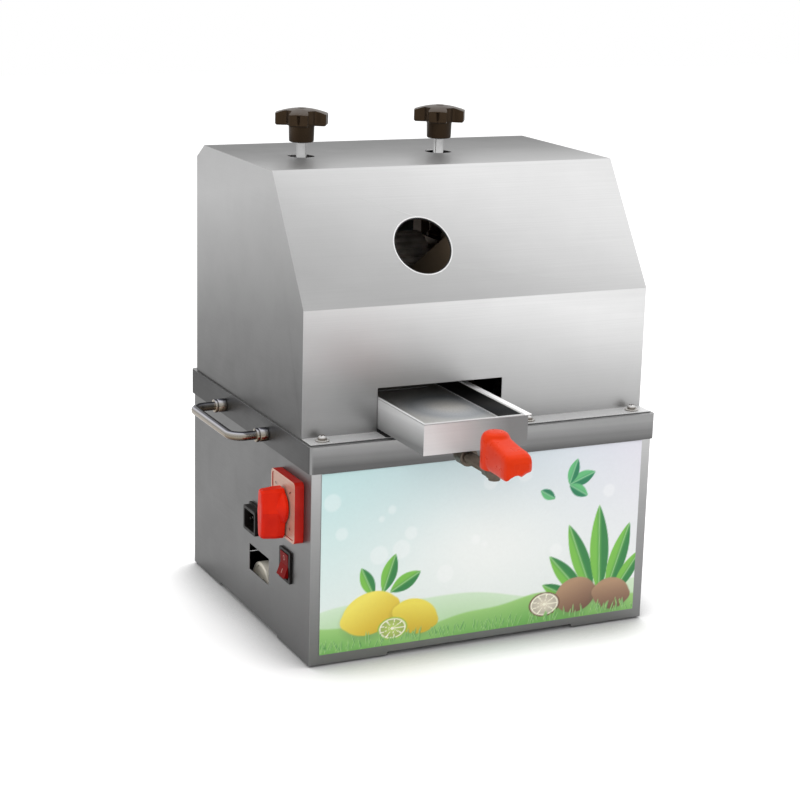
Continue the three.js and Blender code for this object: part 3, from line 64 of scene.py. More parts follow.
def decoded(levels):
    """Linear light from sRGB levels of 0 to 255."""
    share = np.asarray(levels, float) / 255
    return np.where(share <= 0.04045, share / 12.92, ((share + 0.055) / 1.055) ** 2.4)


def linear(r, g, b):
    return (*(float(c) for c in decoded((r, g, b))), 1.0)


def grey(level):
    return linear(level, level, level)


class Material:
    """A Principled material with short calls for its nodes."""

    def __init__(self, name, **constants):
        self.data = bpy.data.materials.new(name)
        self.data.use_nodes = True
        self.tree = self.data.node_tree
        self.tree.nodes.clear()
        self.output = self.node("ShaderNodeOutputMaterial")
        self.bsdf = self.node("ShaderNodeBsdfPrincipled")
        self.tree.links.new(self.bsdf.outputs[0], self.output.inputs[0])
        for key, value in constants.items():
            self.bsdf.inputs[key.replace("_", " ")].default_value = value

    def node(self, kind, *values, **attributes):
        """A new node; the values go into its first inputs."""
        n = self.tree.nodes.new(kind)
        for key, value in attributes.items():
            setattr(n, key, value)
        for socket, value in zip(n.inputs, values):
            self.put(socket, value)
        return n

    def put(self, socket, value):
        """Link a socket to another one, or give it a value."""
        if isinstance(value, bpy.types.NodeSocket):
            self.tree.links.new(value, socket)
        else:
            socket.default_value = value

    def set(self, name, value):
        self.put(self.bsdf.inputs[name], value)

    def math(self, operation, a, b=0.0, clamp=False):
        return self.node("ShaderNodeMath", a, b, operation=operation, use_clamp=clamp).outputs[0]

    def dot(self, vector, direction):
        n = self.node("ShaderNodeVectorMath", vector, direction, operation="DOT_PRODUCT")
        return n.outputs["Value"]

    def coords(self, output="Object"):
        return self.node("ShaderNodeTexCoord").outputs[output]

    def scaled(self, vector, scale):
        n = self.node("ShaderNodeMapping", vector)
        n.inputs["Scale"].default_value = scale
        return n.outputs[0]

    def noise(self, vector, scale, detail=2.0, roughness=0.5):
        n = self.node("ShaderNodeTexNoise", vector)
        n.inputs["Scale"].default_value = scale
        n.inputs["Detail"].default_value = detail
        n.inputs["Roughness"].default_value = roughness
        return n.outputs[0]

    def span(self, value, a, b, c=0.0, d=1.0):
        """A value that runs from a to b, turned into one from c to d and kept between them."""
        return self.node("ShaderNodeMapRange", value, a, b, c, d).outputs[0]

    def ramp(self, factor, stops):
        """Colours that follow each other, as (position, colour)."""
        n = self.node("ShaderNodeValToRGB", factor)
        elements = n.color_ramp.elements
        elements.remove(elements[1])
        elements[0].position, elements[0].color = stops[0]
        for position, colour in stops[1:]:
            elements.new(position).color = colour
        return n.outputs[0]

    def mix(self, factor, a, b, blend="MIX"):
        n = self.node("ShaderNodeMix", factor, data_type="RGBA", blend_type=blend)
        self.put(n.inputs[6], a)
        self.put(n.inputs[7], b)
        return n.outputs[2]

    def grey_of(self, value):
        return self.node("ShaderNodeCombineColor", value, value, value).outputs[0]

    def bump(self, height, strength, distance):
        n = self.node("ShaderNodeBump")
        n.inputs["Strength"].default_value = strength
        n.inputs["Distance"].default_value = distance
        self.put(n.inputs["Height"], height)
        self.set("Normal", n.outputs[0])


FACING = (0.86, 0.94)  # cosines to a direction: a face starts to count as looking that way, and does fully


def sheet_metal(name, base, painted_panels=(), roughness=0.36, long_axis="x", metallic=0.95, satin=None):
    """Brushed stainless sheet with painted shading. Each panel is (normal, slope, low, high,
    painted_levels):
    on the faces that look along the normal, these grey levels of painted light, shade and reflection follow
    each other as slope . (x, y, z in mm) runs from low to high. Ledges that look up are satin below the
    height satin, in metres."""
    streak, cloudiness, edge_tint, gain = 0.03, 0.035, 0.74, 1.03
    m = Material(name, Metallic=metallic, Specular_Tint=(edge_tint, edge_tint, edge_tint, 1.0))
    position = m.coords()
    normal = m.coords("Normal")
    colour = base
    # Painted shading: on each panel a ramp of grey levels stands in for the light, shade and reflections
    # that face shows.
    for direction, slope, low, high, painted_levels in painted_panels:
        slope = Vector(slope)
        along = m.dot(position, slope * (1000 / (high - low)))
        t = m.math("SUBTRACT", along, (low + slope.y * SHIFT) / (high - low), clamp=True)
        stops = [(i / (len(painted_levels) - 1), grey(min(v * gain, 255))) for i, v in enumerate(painted_levels)]
        mask = m.span(m.dot(normal, Vector(direction).normalized()), *FACING)
        colour = m.mix(mask, colour, m.ramp(t, stops))
    fine, coarse = 1500.0, 9.0  # how fast the brush lines change across and along them
    upright = m.noise(m.scaled(position, (coarse, coarse, fine)), 1.0, 3.0, 0.6)
    across = (fine, coarse, coarse) if long_axis == "y" else (coarse, fine, coarse)
    flat = m.noise(m.scaled(position, across), 1.0, 3.0, 0.6)
    lying = m.span(m.math("ABSOLUTE", m.dot(normal, UP)), 0.4, 0.6)
    standing = m.math("SUBTRACT", 1.0, lying)
    lines = m.math("ADD", m.math("MULTIPLY", upright, standing), m.math("MULTIPLY", flat, lying))
    cloud = m.span(m.noise(position, 7.0, 4.0, 0.55), 0.3, 0.7, -cloudiness, cloudiness)
    shade = m.math("ADD", m.span(lines, 0.3, 0.7, 1 - streak, 1 + streak), cloud)
    m.set("Base Color", m.mix(1.0, colour, m.grey_of(shade), "MULTIPLY"))
    smudge = m.span(m.noise(position, 26.0, 5.0, 0.6), 0.4, 0.75, 0, 0.07)
    brushed = m.span(lines, 0.3, 0.7, roughness - 0.04, roughness + 0.04)
    m.set("Roughness", m.math("ADD", brushed, smudge))
    m.bump(lines, 0.02, 0.00008)
    if satin:
        below = m.span(m.dot(position, UP), satin, satin + 0.002, 1.0, 0.0)
        ledge = m.math("MULTIPLY", below, m.span(m.dot(normal, UP), *FACING))
        m.set("Metallic", m.span(ledge, 0.0, 1.0, metallic, 0.6))
    return m.data


def machined(name, tone, roughness=0.35, tint=(1, 1, 1), scale=60.0):
    """Cast or turned metal with uneven tone and fine grain."""
    m = Material(name, Metallic=1.0)
    position = m.coords()
    cloud = m.noise(position, scale, 5.0, 0.6)
    low = tuple(c * k for c, k in zip(grey(tone * 0.82), (*tint, 1)))
    high = tuple(c * k for c, k in zip(grey(tone), (*tint, 1)))
    m.set("Base Color", m.ramp(cloud, [(0.3, low), (0.7, high)]))
    m.set("Roughness", m.span(cloud, 0.3, 0.7, roughness - 0.06, roughness + 0.1))
    m.bump(m.noise(position, scale * 12, 3.0), 0.08, 0.0002)
    return m.data


def banded(name, painted_bands, roughness=0.12, metallic=1.0):
    """Polished metal with painted reflections: its tone follows how far the surface looks up or down, in
    bands.
    """
    m = Material(name, Metallic=metallic)
    position = m.coords()
    up = m.dot(m.coords("Normal"), UP)
    # Painted reflection: bright and dark bands and a dark underside, picked by the way the surface looks.
    tone = m.ramp(m.span(up, -1.0, 1.0), [((z + 1) / 2, linear(*c)) for z, c in painted_bands])
    haze = m.noise(position, 90.0, 4.0)
    m.set("Base Color", m.mix(m.span(haze, 0.35, 0.7, 0.0, 0.12), tone, grey(150)))
    m.set("Roughness", m.span(haze, 0.3, 0.7, roughness - 0.03, roughness + 0.06))
    m.bump(m.noise(position, 900.0), 0.03, 0.0001)
    return m.data


def plastic(name, colour, dark, roughness, grain=900.0, strength=0.08, coat=0.0, shine=0.5, tint=WHITE):
    """Moulded plastic with a faint orange peel and a tone drift; its undersides are darker by painted
    shade.
    """
    m = Material(name, Coat_Weight=coat, Coat_Roughness=0.12, Specular_IOR_Level=shine, Specular_Tint=tint)
    position = m.coords()
    drift = m.span(m.noise(position, 45.0, 3.0), 0.3, 0.7, -0.2, 0.2)
    # Painted shade: faces that look down take the dark colour, faces that look up the main colour.
    up = m.span(m.dot(m.coords("Normal"), UP), -0.3, 0.3, 0.2, 0.8)
    m.set("Base Color", m.ramp(m.math("ADD", drift, up), [(0.15, dark), (0.85, colour)]))
    m.set("Roughness", m.span(m.noise(position, 120.0, 4.0), 0.3, 0.7, roughness - 0.05, roughness + 0.08))
    m.bump(m.noise(position, grain, 2.0), strength, 0.0001)
    return m.data


def wear(name, colour, rough, speck, scale=500.0, metallic=0.0):
    """Rubber, painted casting or mineral filled plastic with a speckle."""
    m = Material(name, Metallic=metallic)
    position = m.coords()
    specks = m.noise(position, scale, 4.0, 0.7)
    m.set("Base Color", m.ramp(specks, [(0.35, colour), (0.75, speck)]))
    m.set("Roughness", m.span(specks, 0.3, 0.7, rough - 0.08, rough + 0.06))
    m.bump(specks, 0.25, 0.0002)
    return m.data


def dress(material, *names):
    """Give carried-over solids a material."""
    for name in names:
        obj = nodes[name]
        if not obj.material_slots:
            obj.data.materials.append(material)
        for slot in obj.material_slots:
            slot.material = material


# Painted shading: each panel's grey levels follow the light, shade and reflections on that face of the
# hood.
hood_steel = sheet_metal("hood_sheet", grey(176), [
    (FRONT, (0.1683, 0, 0.8633), 197.5, 322, (150, 162, 180, 193, 208, 224, 236)),
    (SLOPE, (0.1512, 0.6345, 0), -108.6, -26, (178, 187, 197, 210, 221, 229, 233)),
    (UP, (0.023, -0.2814, 0), -34, 50, (138, 144, 152, 162, 176, 190, 200, 212, 226, 240, 248, 248)),
    (LEFT, (0, 0.067, 0.3518), 89, 165, (108, 121, 136, 155, 173, 188, 204)),
    (RIGHT, (0, 0.067, 0.3518), 89, 165, (120, 132, 143, 156, 172, 188, 200)),
    (BACK, (0, 0, 1), 235, 495, (128, 140, 154, 168, 184)),
], satin=0.24)
# Painted shading on the deck's faces, including its dark left skirt.
deck_steel = sheet_metal("deck_sheet", grey(150), [
    (FRONT, (0.0436, 0, 2.4426), 513, 564, (102, 116, 127, 129, 141, 147, 156)),
    (LEFT, (0, 1, 0), -170, 170, (81, 86, 94, 88, 84, 78, 70)),
    (RIGHT, (0, 0, 1), 207, 235, (112, 130)),
    (UP, (0, 1, 0), -178, 178, (190, 160)),
])
# Painted shading on the cabinet's faces.
cabinet_steel = sheet_metal("cabinet_sheet", grey(140), [
    (FRONT, (0.02, 0, 0.35), -8, 80, (127, 130, 138, 147, 160, 180, 200)),
    (LEFT, (0, 0.0888, 0.1292), -6.7, 30.6, (132, 131, 133, 124, 119, 124, 121)),
    (RIGHT, (0, 0, 1), 0, 235, (118, 128, 140, 150)),
    (BACK, (0, 0, 1), 0, 235, (122, 138, 156, 166)),
])
# Painted shading on the tray's front, left side and rim.
tray_steel = sheet_metal("tray_sheet", grey(190), [
    (FRONT, (-0.893, 0, -0.181), -28.9, 46.5, (122, 140, 158, 175, 193, 202, 209)),
    (LEFT, (0, 0.15, 2.729), 636, 697, (128, 149, 162, 174, 186, 197, 212)),
    (UP, (0, 1, 0), -257, -150, (205, 190)),
], roughness=0.45, long_axis="y", metallic=0.3)
inner_steel = sheet_metal("inner_sheet", grey(150), roughness=0.4)
chute_steel = sheet_metal("feed_chute_sheet", linear(106, 92, 76), roughness=0.5, metallic=0.2)
# A steel lip whose near white, mostly unmetallic colour is a painted highlight round the cane inlet.
lip_steel = sheet_metal("inlet_lip_steel", grey(240), roughness=0.3, metallic=0.3)
# Painted reflections on the handles: dark warm undersides and bright and dark bands on top.
chrome = banded("chrome", [
    (-1.0, (36, 24, 20)), (-0.75, (62, 38, 32)), (-0.4, (112, 94, 74)), (0.0, (142, 132, 116)),
    (0.5, (168, 164, 158)), (0.76, (204, 204, 212)), (0.9, (84, 84, 94)), (1.0, (42, 42, 48))], 0.2)
# Painted reflections on screw heads and washers: bright domes and dark undersides.
head_steel = banded("screw_head_steel", [
    (-1.0, (44, 34, 30)), (-0.1, (128, 122, 114)), (0.15, (92, 84, 76)), (0.4, (190, 186, 182)),
    (0.8, (240, 240, 240)), (1.0, (240, 238, 234))], metallic=0.45)
screw_steel = machined("screw_steel", 214, 0.16, scale=30.0)
mill_steel = machined("mill_steel", 150, 0.4)
roller_steel = machined("roller_steel", 232, 0.5, (1.0, 0.93, 0.86))
dark_steel = machined("dark_steel", 96, 0.42, (1.0, 0.93, 0.86))
bronze = machined("bearing_bronze", 128, 0.5, (1.0, 0.72, 0.48))
brass = machined("tap_brass", 112, 0.42, (1.0, 0.82, 0.66), scale=160.0)
cast_iron = wear("cast_iron", linear(104, 88, 72), 0.65, linear(126, 106, 88), 700.0, 0.2)
# Each plastic's second colour is the painted shade of its faces that look down.
bakelite = plastic("bakelite", linear(44, 34, 25), linear(30, 23, 17), 0.3, grain=700.0, strength=0.1,
                   shine=0.42, tint=linear(255, 214, 170))
black_plastic = plastic("black_plastic", linear(24, 21, 19), linear(14, 12, 11), 0.42, shine=0.2)
red_plastic = plastic("red_plastic", linear(224, 36, 6), linear(190, 16, 1), 0.38, coat=0.02, shine=0.22,
                      tint=linear(255, 214, 190))
tap_red = plastic("tap_red", linear(216, 50, 8), linear(206, 42, 6), 0.3, coat=0.05, shine=0.24,
                  tint=linear(255, 205, 160))
rocker_red = plastic("rocker_red", linear(122, 10, 8), linear(108, 5, 6), 0.45, shine=0.05)
rubber = wear("foot_rubber", grey(28), 0.85, grey(44))
cream = plastic("cream_plastic", linear(252, 246, 232), linear(240, 233, 216), 0.45)
motor_paint = wear("motor_paint", linear(60, 66, 74), 0.5, linear(80, 86, 94), 400.0)
white_mark = plastic("mark_white", linear(176, 120, 112), linear(160, 106, 100), 0.5)
dark_mark = plastic("mark_dark", linear(70, 52, 46), linear(54, 40, 36), 0.5)

dress(hood_steel, "hood")
dress(deck_steel, "deck")
dress(cabinet_steel, "cabinet_shell", "rear_panel", "base_plate")
dress(tray_steel, "juice_tray")
dress(inner_steel, "bagasse_chute", "left_tray_rail", "right_tray_rail", "drip_guide")
dress(chute_steel, "feed_chute")
dress(roller_steel, "top_roller", "front_roller", "rear_roller")
dress(dark_steel, "turner_bar", "front_tie_bar", "rear_tie_bar")
dress(mill_steel, "top_gear", "front_gear", "rear_gear", "drive_gear", "drive_pinion", "motor_bracket")
dress(cast_iron, "left_cheek", "right_cheek", "left_bridge", "right_bridge")
dress(bronze, "left_bearing_block", "right_bearing_block")
dress(bronze, "front_left_bush", "rear_left_bush", "front_right_bush", "rear_right_bush")
dress(motor_paint, "gear_motor")
dress(black_plastic, "switch_body", "rocker_housing", "mains_inlet")
dress(rocker_red, "rocker")


def shaft_material():
    """Bright shaft with an oil darkened thread below the hood."""
    oil_top, bright_from = 0.472, 0.476
    m = Material("pressure_screw_steel", Metallic=1.0)
    position = m.coords()
    clean = m.span(m.dot(position, UP), oil_top, bright_from)
    cloud = m.noise(position, 30.0, 5.0, 0.6)
    bright = m.ramp(cloud, [(0.3, grey(178)), (0.7, grey(214))])
    oily = m.ramp(cloud, [(0.3, linear(66, 52, 40)), (0.7, linear(84, 66, 52))])
    m.set("Base Color", m.mix(clean, oily, bright))
    m.set("Roughness", m.span(clean, 0.0, 1.0, 0.55, 0.18))
    m.bump(m.noise(position, 360.0, 3.0), 0.08, 0.0002)
    return m.data


def pan_material():
    """Satin pan: bright flanges, the right one near white by painted light; polished walls with a thin band
    of painted shade at their foot; a floor with a painted pool of light near its front, ringed greyer.
    """
    flange_under, painted_shade_top, fade = 0.2700, 0.2553, 0.0006
    flange_left, flange_right = -0.0045, -0.003
    # Painted light: the floor is pale round painted_light_centre, over an oval of this width and depth.
    painted_light_centre, painted_light_width, painted_light_depth = at(-32, -142, 254.5), 0.075, 0.085
    m = Material("pan_sheet")
    position = m.coords()
    height = m.dot(position, UP)
    inside = m.span(height, flange_under, flange_under + fade, 1.0, 0.0)
    level = m.span(m.dot(m.coords("Normal"), UP), 0.5, 0.9)
    wall = m.math("MULTIPLY", inside, m.math("SUBTRACT", 1.0, level))
    # Painted shade: a thin band at the foot of the walls, below painted_shade_top, is dark grey and not
    # metallic.
    foot = m.math("MULTIPLY", wall, m.span(height, painted_shade_top, painted_shade_top + fade, 1.0, 0.0))
    offset = m.node("ShaderNodeVectorMath", position, painted_light_centre, operation="SUBTRACT").outputs[0]
    stretched = m.scaled(offset, (1 / painted_light_width, 1 / painted_light_depth, 0))
    distance = m.node("ShaderNodeVectorMath", stretched, operation="LENGTH").outputs["Value"]
    weave = m.node("ShaderNodeTexVoronoi", position, feature="F1")
    m.put(weave.inputs["Scale"], 620.0)
    # Painted light: a pale pool with a greyer ring round it, then the floor's own grey.
    floor = m.ramp(distance, [
        (0.0, linear(240, 238, 232)), (0.2, linear(235, 234, 231)), (0.36, linear(208, 211, 214)),
        (0.5, linear(182, 186, 190)), (0.68, linear(198, 198, 196)), (1.2, linear(192, 190, 184))])
    floor = m.mix(m.span(weave.outputs["Distance"], 0.2, 0.7, 0.0, 0.15), floor, grey(120))
    # grey(62) is the painted shade along the walls' foot.
    side = m.mix(foot, grey(62), grey(216))
    # Painted light: right of flange_right the flange is near white, lighter than the left.
    flange = m.mix(m.span(m.dot(position, RIGHT), flange_left, flange_right), grey(200), grey(252))
    m.set("Base Color", m.mix(inside, flange, m.mix(level, side, floor)))
    polished = m.math("SUBTRACT", wall, foot)
    m.set("Metallic", polished)
    haze = m.span(m.noise(position, 80.0), 0.3, 0.7, 0.0, 0.08)
    m.set("Roughness", m.math("ADD", haze, m.span(polished, 0.0, 1.0, 0.42, 0.12)))
    m.bump(weave.outputs["Distance"], 0.1, 0.0002)
    return m.data


def plate_material():
    """Red plate with a satin silver face."""
    m = Material("switch_plate_face", Specular_IOR_Level=0.3)
    position = m.coords()
    face = m.span(m.dot(m.coords("Normal"), LEFT), 0.93, 0.98)
    grain = m.noise(m.scaled(position, (10, 10, 1400)), 1.0, 3.0)
    silver = m.ramp(grain, [(0.3, linear(186, 150, 132)), (0.7, linear(200, 164, 146))])
    red = m.ramp(m.noise(position, 45.0, 3.0), [(0.3, linear(170, 18, 6)), (0.68, linear(188, 28, 12))])
    m.set("Base Color", m.mix(face, red, silver))
    m.set("Metallic", m.math("MULTIPLY", face, 0.35))
    m.set("Roughness", m.span(m.noise(position, 120.0), 0.3, 0.7, 0.3, 0.42))
    m.bump(m.noise(position, 900.0), 0.06, 0.0001)
    return m.data


shaft_steel = shaft_material()
dress(pan_material(), "strainer_pan")
dress(plate_material(), "switch_plate")


# Mesh tools

def linked(name, data):
    """A new object in the scene for a mesh, a lamp or a camera."""
    obj = bpy.data.objects.new(name, data)
    bpy.context.scene.collection.objects.link(obj)
    return obj


def bare_object(name, points, faces):
    mesh = bpy.data.meshes.new(name)
    mesh.from_pydata([tuple(p) for p in points], [], faces)
    return linked(name, mesh)


def new_object(name, points, faces, material, body, smooth):
    """A piece that rides a body; edges of more than smooth degrees stay sharp, and 0 keeps faces flat."""
    obj = bare_object(name, points, faces)
    mesh = obj.data
    mesh.validate()
    mesh.update()
    if smooth:
        mesh.shade_smooth()
        mesh.set_sharp_from_angle(angle=math.radians(smooth))
    mesh.materials.append(material)
    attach(obj, body)
    return obj


def rings_mesh(rings, closed_ends=True):
    """Points and faces of a skin over rings of equal count."""
    count = len(rings[0])
    points = [p for ring in rings for p in ring]
    faces = []
    for i in range(len(rings) - 1):
        for k in range(count):
            n = (k + 1) % count
            faces.append((i * count + k, i * count + n, (i + 1) * count + n, (i + 1) * count + k))
    if closed_ends:
        faces.append(tuple(reversed(range(count))))
        last = (len(rings) - 1) * count
        faces.append(tuple(range(last, last + count)))
    return points, faces


def merged(*parts):
    """Several forms as one."""
    points, faces = [], []
    for p, f in parts:
        start = len(points)
        points += p
        faces += [tuple(start + i for i in face) for face in f]
    return points, faces


def turned(profile, centre, axis, sides=48):
    """Skin of a turned form: profile of (radius, height) in mm, round an axis through a point in mm."""
    axis = Vector(axis).normalized()
    side = axis.orthogonal().normalized()
    other = axis.cross(side)
    middle = Vector(centre)
    rings = []
    for radius, height in profile:
        ring = []
        for k in range(sides):
            angle = 2 * math.pi * k / sides
            p = middle + axis * height
            p = p + (side * math.cos(angle) + other * math.sin(angle)) * max(radius, 0.01)
            ring.append(at(*p))
        rings.append(ring)
    return rings_mesh(rings)


def swept(points, radius, sides):
    """Skin of a round rod along a level row of points in mm."""
    path = [Vector(p) for p in points]
    rings = []
    for i, p in enumerate(path):
        tangent = (path[min(i + 1, len(path) - 1)] - path[max(i - 1, 0)]).normalized()
        side = tangent.cross(Vector(UP)).normalized()
        other = tangent.cross(side)
        rings.append([
            at(*(p + (side * math.cos(a) + other * math.sin(a)) * radius))
            for a in (2 * math.pi * k / sides for k in range(sides))])
    return rings_mesh(rings)


def slab(x0, x1, y0, y1, z0, z1):
    """Skin of a box between two corners in mm."""
    points = [at(x, y, z) for z in (z0, z1) for x, y in ((x0, y0), (x1, y0), (x1, y1), (x0, y1))]
    return points, [(3, 2, 1, 0), (4, 5, 6, 7), (0, 1, 5, 4), (1, 2, 6, 5), (2, 3, 7, 6), (3, 0, 4, 7)]


def applied(obj):
    """Make what the modifiers show the object's own mesh."""
    evaluated = obj.evaluated_get(bpy.context.evaluated_depsgraph_get())
    mesh = bpy.data.meshes.new_from_object(evaluated)
    obj.modifiers.clear()
    obj.data = mesh


def fused(obj, voxel, rounds):
    """One smooth skin over overlapping forms; voxel in metres."""
    remesh = obj.modifiers.new("fuse", "REMESH")
    remesh.mode = "VOXEL"
    remesh.voxel_size = voxel
    remesh.use_smooth_shade = True
    relax = obj.modifiers.new("relax", "SMOOTH")
    relax.factor = 0.6
    relax.iterations = rounds
    applied(obj)
    obj.data.shade_smooth()


def carve(obj, form):
    """Take a closed form away from an object's mesh."""
    cutter = bare_object("cutter", *form)
    taken = obj.modifiers.new("carve", "BOOLEAN")
    taken.operation = "DIFFERENCE"
    taken.solver = "EXACT"
    taken.object = cutter
    applied(obj)
    bpy.data.objects.remove(cutter)


def rounded(obj, width, degrees, segments=2):
    """Small rounds along the edges that turn by more than an angle; width in metres."""
    bevel = obj.modifiers.new("edge", "BEVEL")
    bevel.width = width
    bevel.segments = segments
    bevel.angle_limit = math.radians(degrees)
    return bevel


def softened(name, width):
    """Small rounds along the sharp edges of a carried-over solid."""
    weld = nodes[name].modifiers.new("joined", "WELD")
    weld.merge_threshold = 0.00001
    rounded(nodes[name], width, 30)


for sheet in ("hood", "deck", "cabinet_shell", "juice_tray", "strainer_pan"):
    softened(sheet, 0.0005)
for block in ("switch_plate", "mains_inlet", "rocker_housing"):
    softened(block, 0.0006)


# Star knobs and pressure screws

KNOB_Y = 36
KNOB_ARMS = 4
ARM_REACH, WAIST = 27.4, 17.6  # mm from the axis to an arm's flat end, and to the hollow between arms


def knob_outline(turn):
    """The star from above, as (angle, radius, flute): each arm has a flute in the middle of its end."""
    count, steepness, flute_depth, flute_sharpness = 180, 10, 2.6, 18.0
    outline = []
    for k in range(count):
        a = 2 * math.pi * k / count
        wave = math.cos(KNOB_ARMS * (a - turn))
        arm = 1 / (1 + math.exp(-(wave + 0.1) * steepness))
        off, flute = math.pi / (2 * KNOB_ARMS), 0.0
        if wave > 0:
            off = math.asin(math.sin(KNOB_ARMS * (a - turn))) / KNOB_ARMS
            flute = flute_depth * math.exp(-(flute_sharpness * math.sin(off)) ** 2)
        outline.append((a, WAIST + (ARM_REACH / math.cos(off) - WAIST) * arm, flute))
    return outline


def star_knob(name, x, body, node, turn):
    """Domed bakelite star with square ended arms on a long hub."""
    bottom, head, top = 510.0, 528.0, 546.0
    neck, dome = 13.0, 5.0
    outline = knob_outline(turn)
    axis_foot = (x, KNOB_Y, 0)

    def place(a, radius, z):
        return at(x + radius * math.cos(a), KNOB_Y + radius * math.sin(a), z)

    rings = [[place(a, neck, head + 0.4) for a, _, _ in outline]]
    for share, z, fluted in ((0.75, head, 0), (0.95, head + 0.2, 0), (1.0, head + 1.5, 0),
                             (1.0, head + 3.2, 1), (1.0, top - 6.8, 1), (1.0, top - 6.0, 0)):
        rings.append([place(a, r * share - flute * fluted, z) for a, r, flute in outline])
    for share in (1.0, 0.93, 0.85, 0.75, 0.62, 0.48, 0.33, 0.18, 0.06):
        fall = dome * (share / ARM_REACH) ** 2
        rings.append([place(a, r * share, top - fall * r ** 2) for a, r, _ in outline])
    hub = turned([(12.0, bottom), (13.0, bottom + 0.6), (13.3, bottom + 2), (13.7, head - 2),
                  (14.6, head + 1.5), (13.0, head + 4)], axis_foot, UP)
    cap = turned([(5.2, top - 1), (5.2, top - 0.1), (4.8, top + 0.12), (0.1, top + 0.2)], axis_foot, UP, 32)
    obj = new_object(name, *merged(rings_mesh(rings), hub, cap), bakelite, body, 38)
    rounded(obj, 0.0007, 40)
    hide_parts(node)


def pressure_screw(name, x, body, node):
    """Threaded screw with a foot below, and a plain shaft above the thread."""
    foot, thread_top, shaft_top, pitch = 400.7, 474.0, 527.5, 2.0
    core, crest, shaft = 7.1, 7.9, 5.6
    profile = [(8.8, foot), (10, foot + 1), (10, foot + 4.3), (7.4, foot + 6)]
    z = foot + 7
    while z < thread_top - 4:
        profile += [(core, z), (crest, z + 0.7), (crest, z + 1.1), (core, z + 1.8)]
        z += pitch
    profile += [(7.2, thread_top - 1.6), (shaft, thread_top), (shaft, shaft_top)]
    obj = new_object(name, *turned(profile, (x, KNOB_Y, 0), UP, 40), shaft_steel, body, 50)
    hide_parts(node)


for side, x, turn in (("left", -127, math.radians(240.6)), ("right", 36, math.radians(239.7))):
    star_knob(f"{side}_knob_moulding", x, f"{side}_screw_set", f"{side}_star_knob", turn)
    pressure_screw(f"{side}_threaded_screw", x, f"{side}_screw_set", f"{side}_pressure_screw")


# Handles, screws and feet

def carrying_handle(side):
    """Round rod with two bends, its ends in stepped collars on the deck's skirt."""
    sx = -1 if side == "left" else 1
    skirt, middle, z = 201.0, 3.0, 219.0
    half, reach, bend, rod = 63.0, 38.0, 14.0, 4.8
    path = [(sx * (skirt + 0.3), middle - half, z)]
    for end in (-1, 1):
        for k in range(9):
            a = math.pi / 2 * (k / 8 if end < 0 else 1 - k / 8)
            path.append((sx * (skirt + reach - bend + bend * math.sin(a)),
                         middle + end * (half - bend + bend * math.cos(a)), z))
    path.append((sx * (skirt + 0.3), middle + half, z))
    parts = [swept(path, rod, 32)]
    collar = [(7.0, 0.3), (7.4, 0.7), (7.4, 8.2), (7.0, 8.7), (6.7, 9.2), (7.0, 9.7), (7.5, 10.1),
              (7.5, 12.4), (7.1, 13.0), (5.4, 13.3), (4.4, 13.4)]
    for end in (-1, 1):
        parts.append(turned(collar, (sx * skirt, middle + end * half, z), (sx, 0, 0)))
    obj = new_object(f"{side}_chrome_handle", *merged(*parts), chrome, "frame", 40)
    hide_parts(f"{side}_handle")


def pan_screw(name, centre, axis, size, node=None):
    """Pan head screw with washer, and a dark cross flush with its head as painted shade for the cross
    recess; the washer sits on centre, size is the head's radius.
    """
    s = size
    washer = turned([(s * 1.55, 0), (s * 1.6, 0.15), (s * 1.6, 0.9), (s * 1.45, 1.1), (s * 0.8, 1.1)],
                    centre, axis)
    head = turned([(s, 1.0), (s, s * 0.5), (s * 0.95, s * 0.75), (s * 0.8, s), (s * 0.55, s * 1.17),
                   (s * 0.3, s * 1.24)], centre, axis)
    obj = new_object(name, *merged(washer, head), head_steel, "frame", 40)
    axis = Vector(axis).normalized()
    side = axis.orthogonal().normalized()
    other = axis.cross(side)
    half_long, half_wide, half_tall = s * 0.62, 0.42, 0.62
    middle = Vector(centre) + axis * (s * 1.13)
    corners = [(a, b, c) for a in (-1, 1) for b in (-1, 1) for c in (-1, 1)]
    sides = [(0, 1, 3, 2), (4, 6, 7, 5), (0, 4, 5, 1), (2, 3, 7, 6), (0, 2, 6, 4), (1, 5, 7, 3)]
    bars = []
    for u, v in ((side, other), (other, side)):
        bars.append(([at(*(middle + u * (a * half_long) + v * (b * half_wide) + axis * (c * half_tall)))
                      for a, b, c in corners], sides))
    # Painted shade: dark bars, not a cut, stand for the shade inside the cross recess.
    new_object(name + "_recess", *merged(*bars), dark_mark, "frame", 0)
    if node:
        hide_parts(node)


def rubber_foot(end, side, x, y):
    profile = [(4, 0.8), (5.2, 0.1), (5.6, 0), (13.2, 0), (14.6, 0.4), (15, 1.3), (14.2, 4.8), (13.9, 5.0)]
    foot = new_object(f"{end}_{side}_rubber_foot", *turned(profile, (x, y, 0), UP), rubber, "frame", 40)
    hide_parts(f"foot_{end}_{side}")


for side in ("left", "right"):
    carrying_handle(side)

FLANGE_Y, FLANGE_TOP, FLANGE_SCREW_X, FLANGE_SCREW = -160.5, 236.5, 181, 4.6
for side, sx in (("left", -1), ("right", 1)):
    pan_screw(f"{side}_flange_screw", (sx * FLANGE_SCREW_X, FLANGE_Y, FLANGE_TOP), UP, FLANGE_SCREW,
              f"hood_screw_{side}")
pan_screw("middle_flange_screw", (54, FLANGE_Y, FLANGE_TOP), UP, FLANGE_SCREW)

REAR_Y, REAR_SCREW = 173.6, 3.0
for i, (x, z) in enumerate(((-186, 30), (186, 30), (-186, 214), (186, 214), (0, 214), (0, 30))):
    pan_screw(f"rear_screw_{i}", (x, REAR_Y, z), BACK, REAR_SCREW)

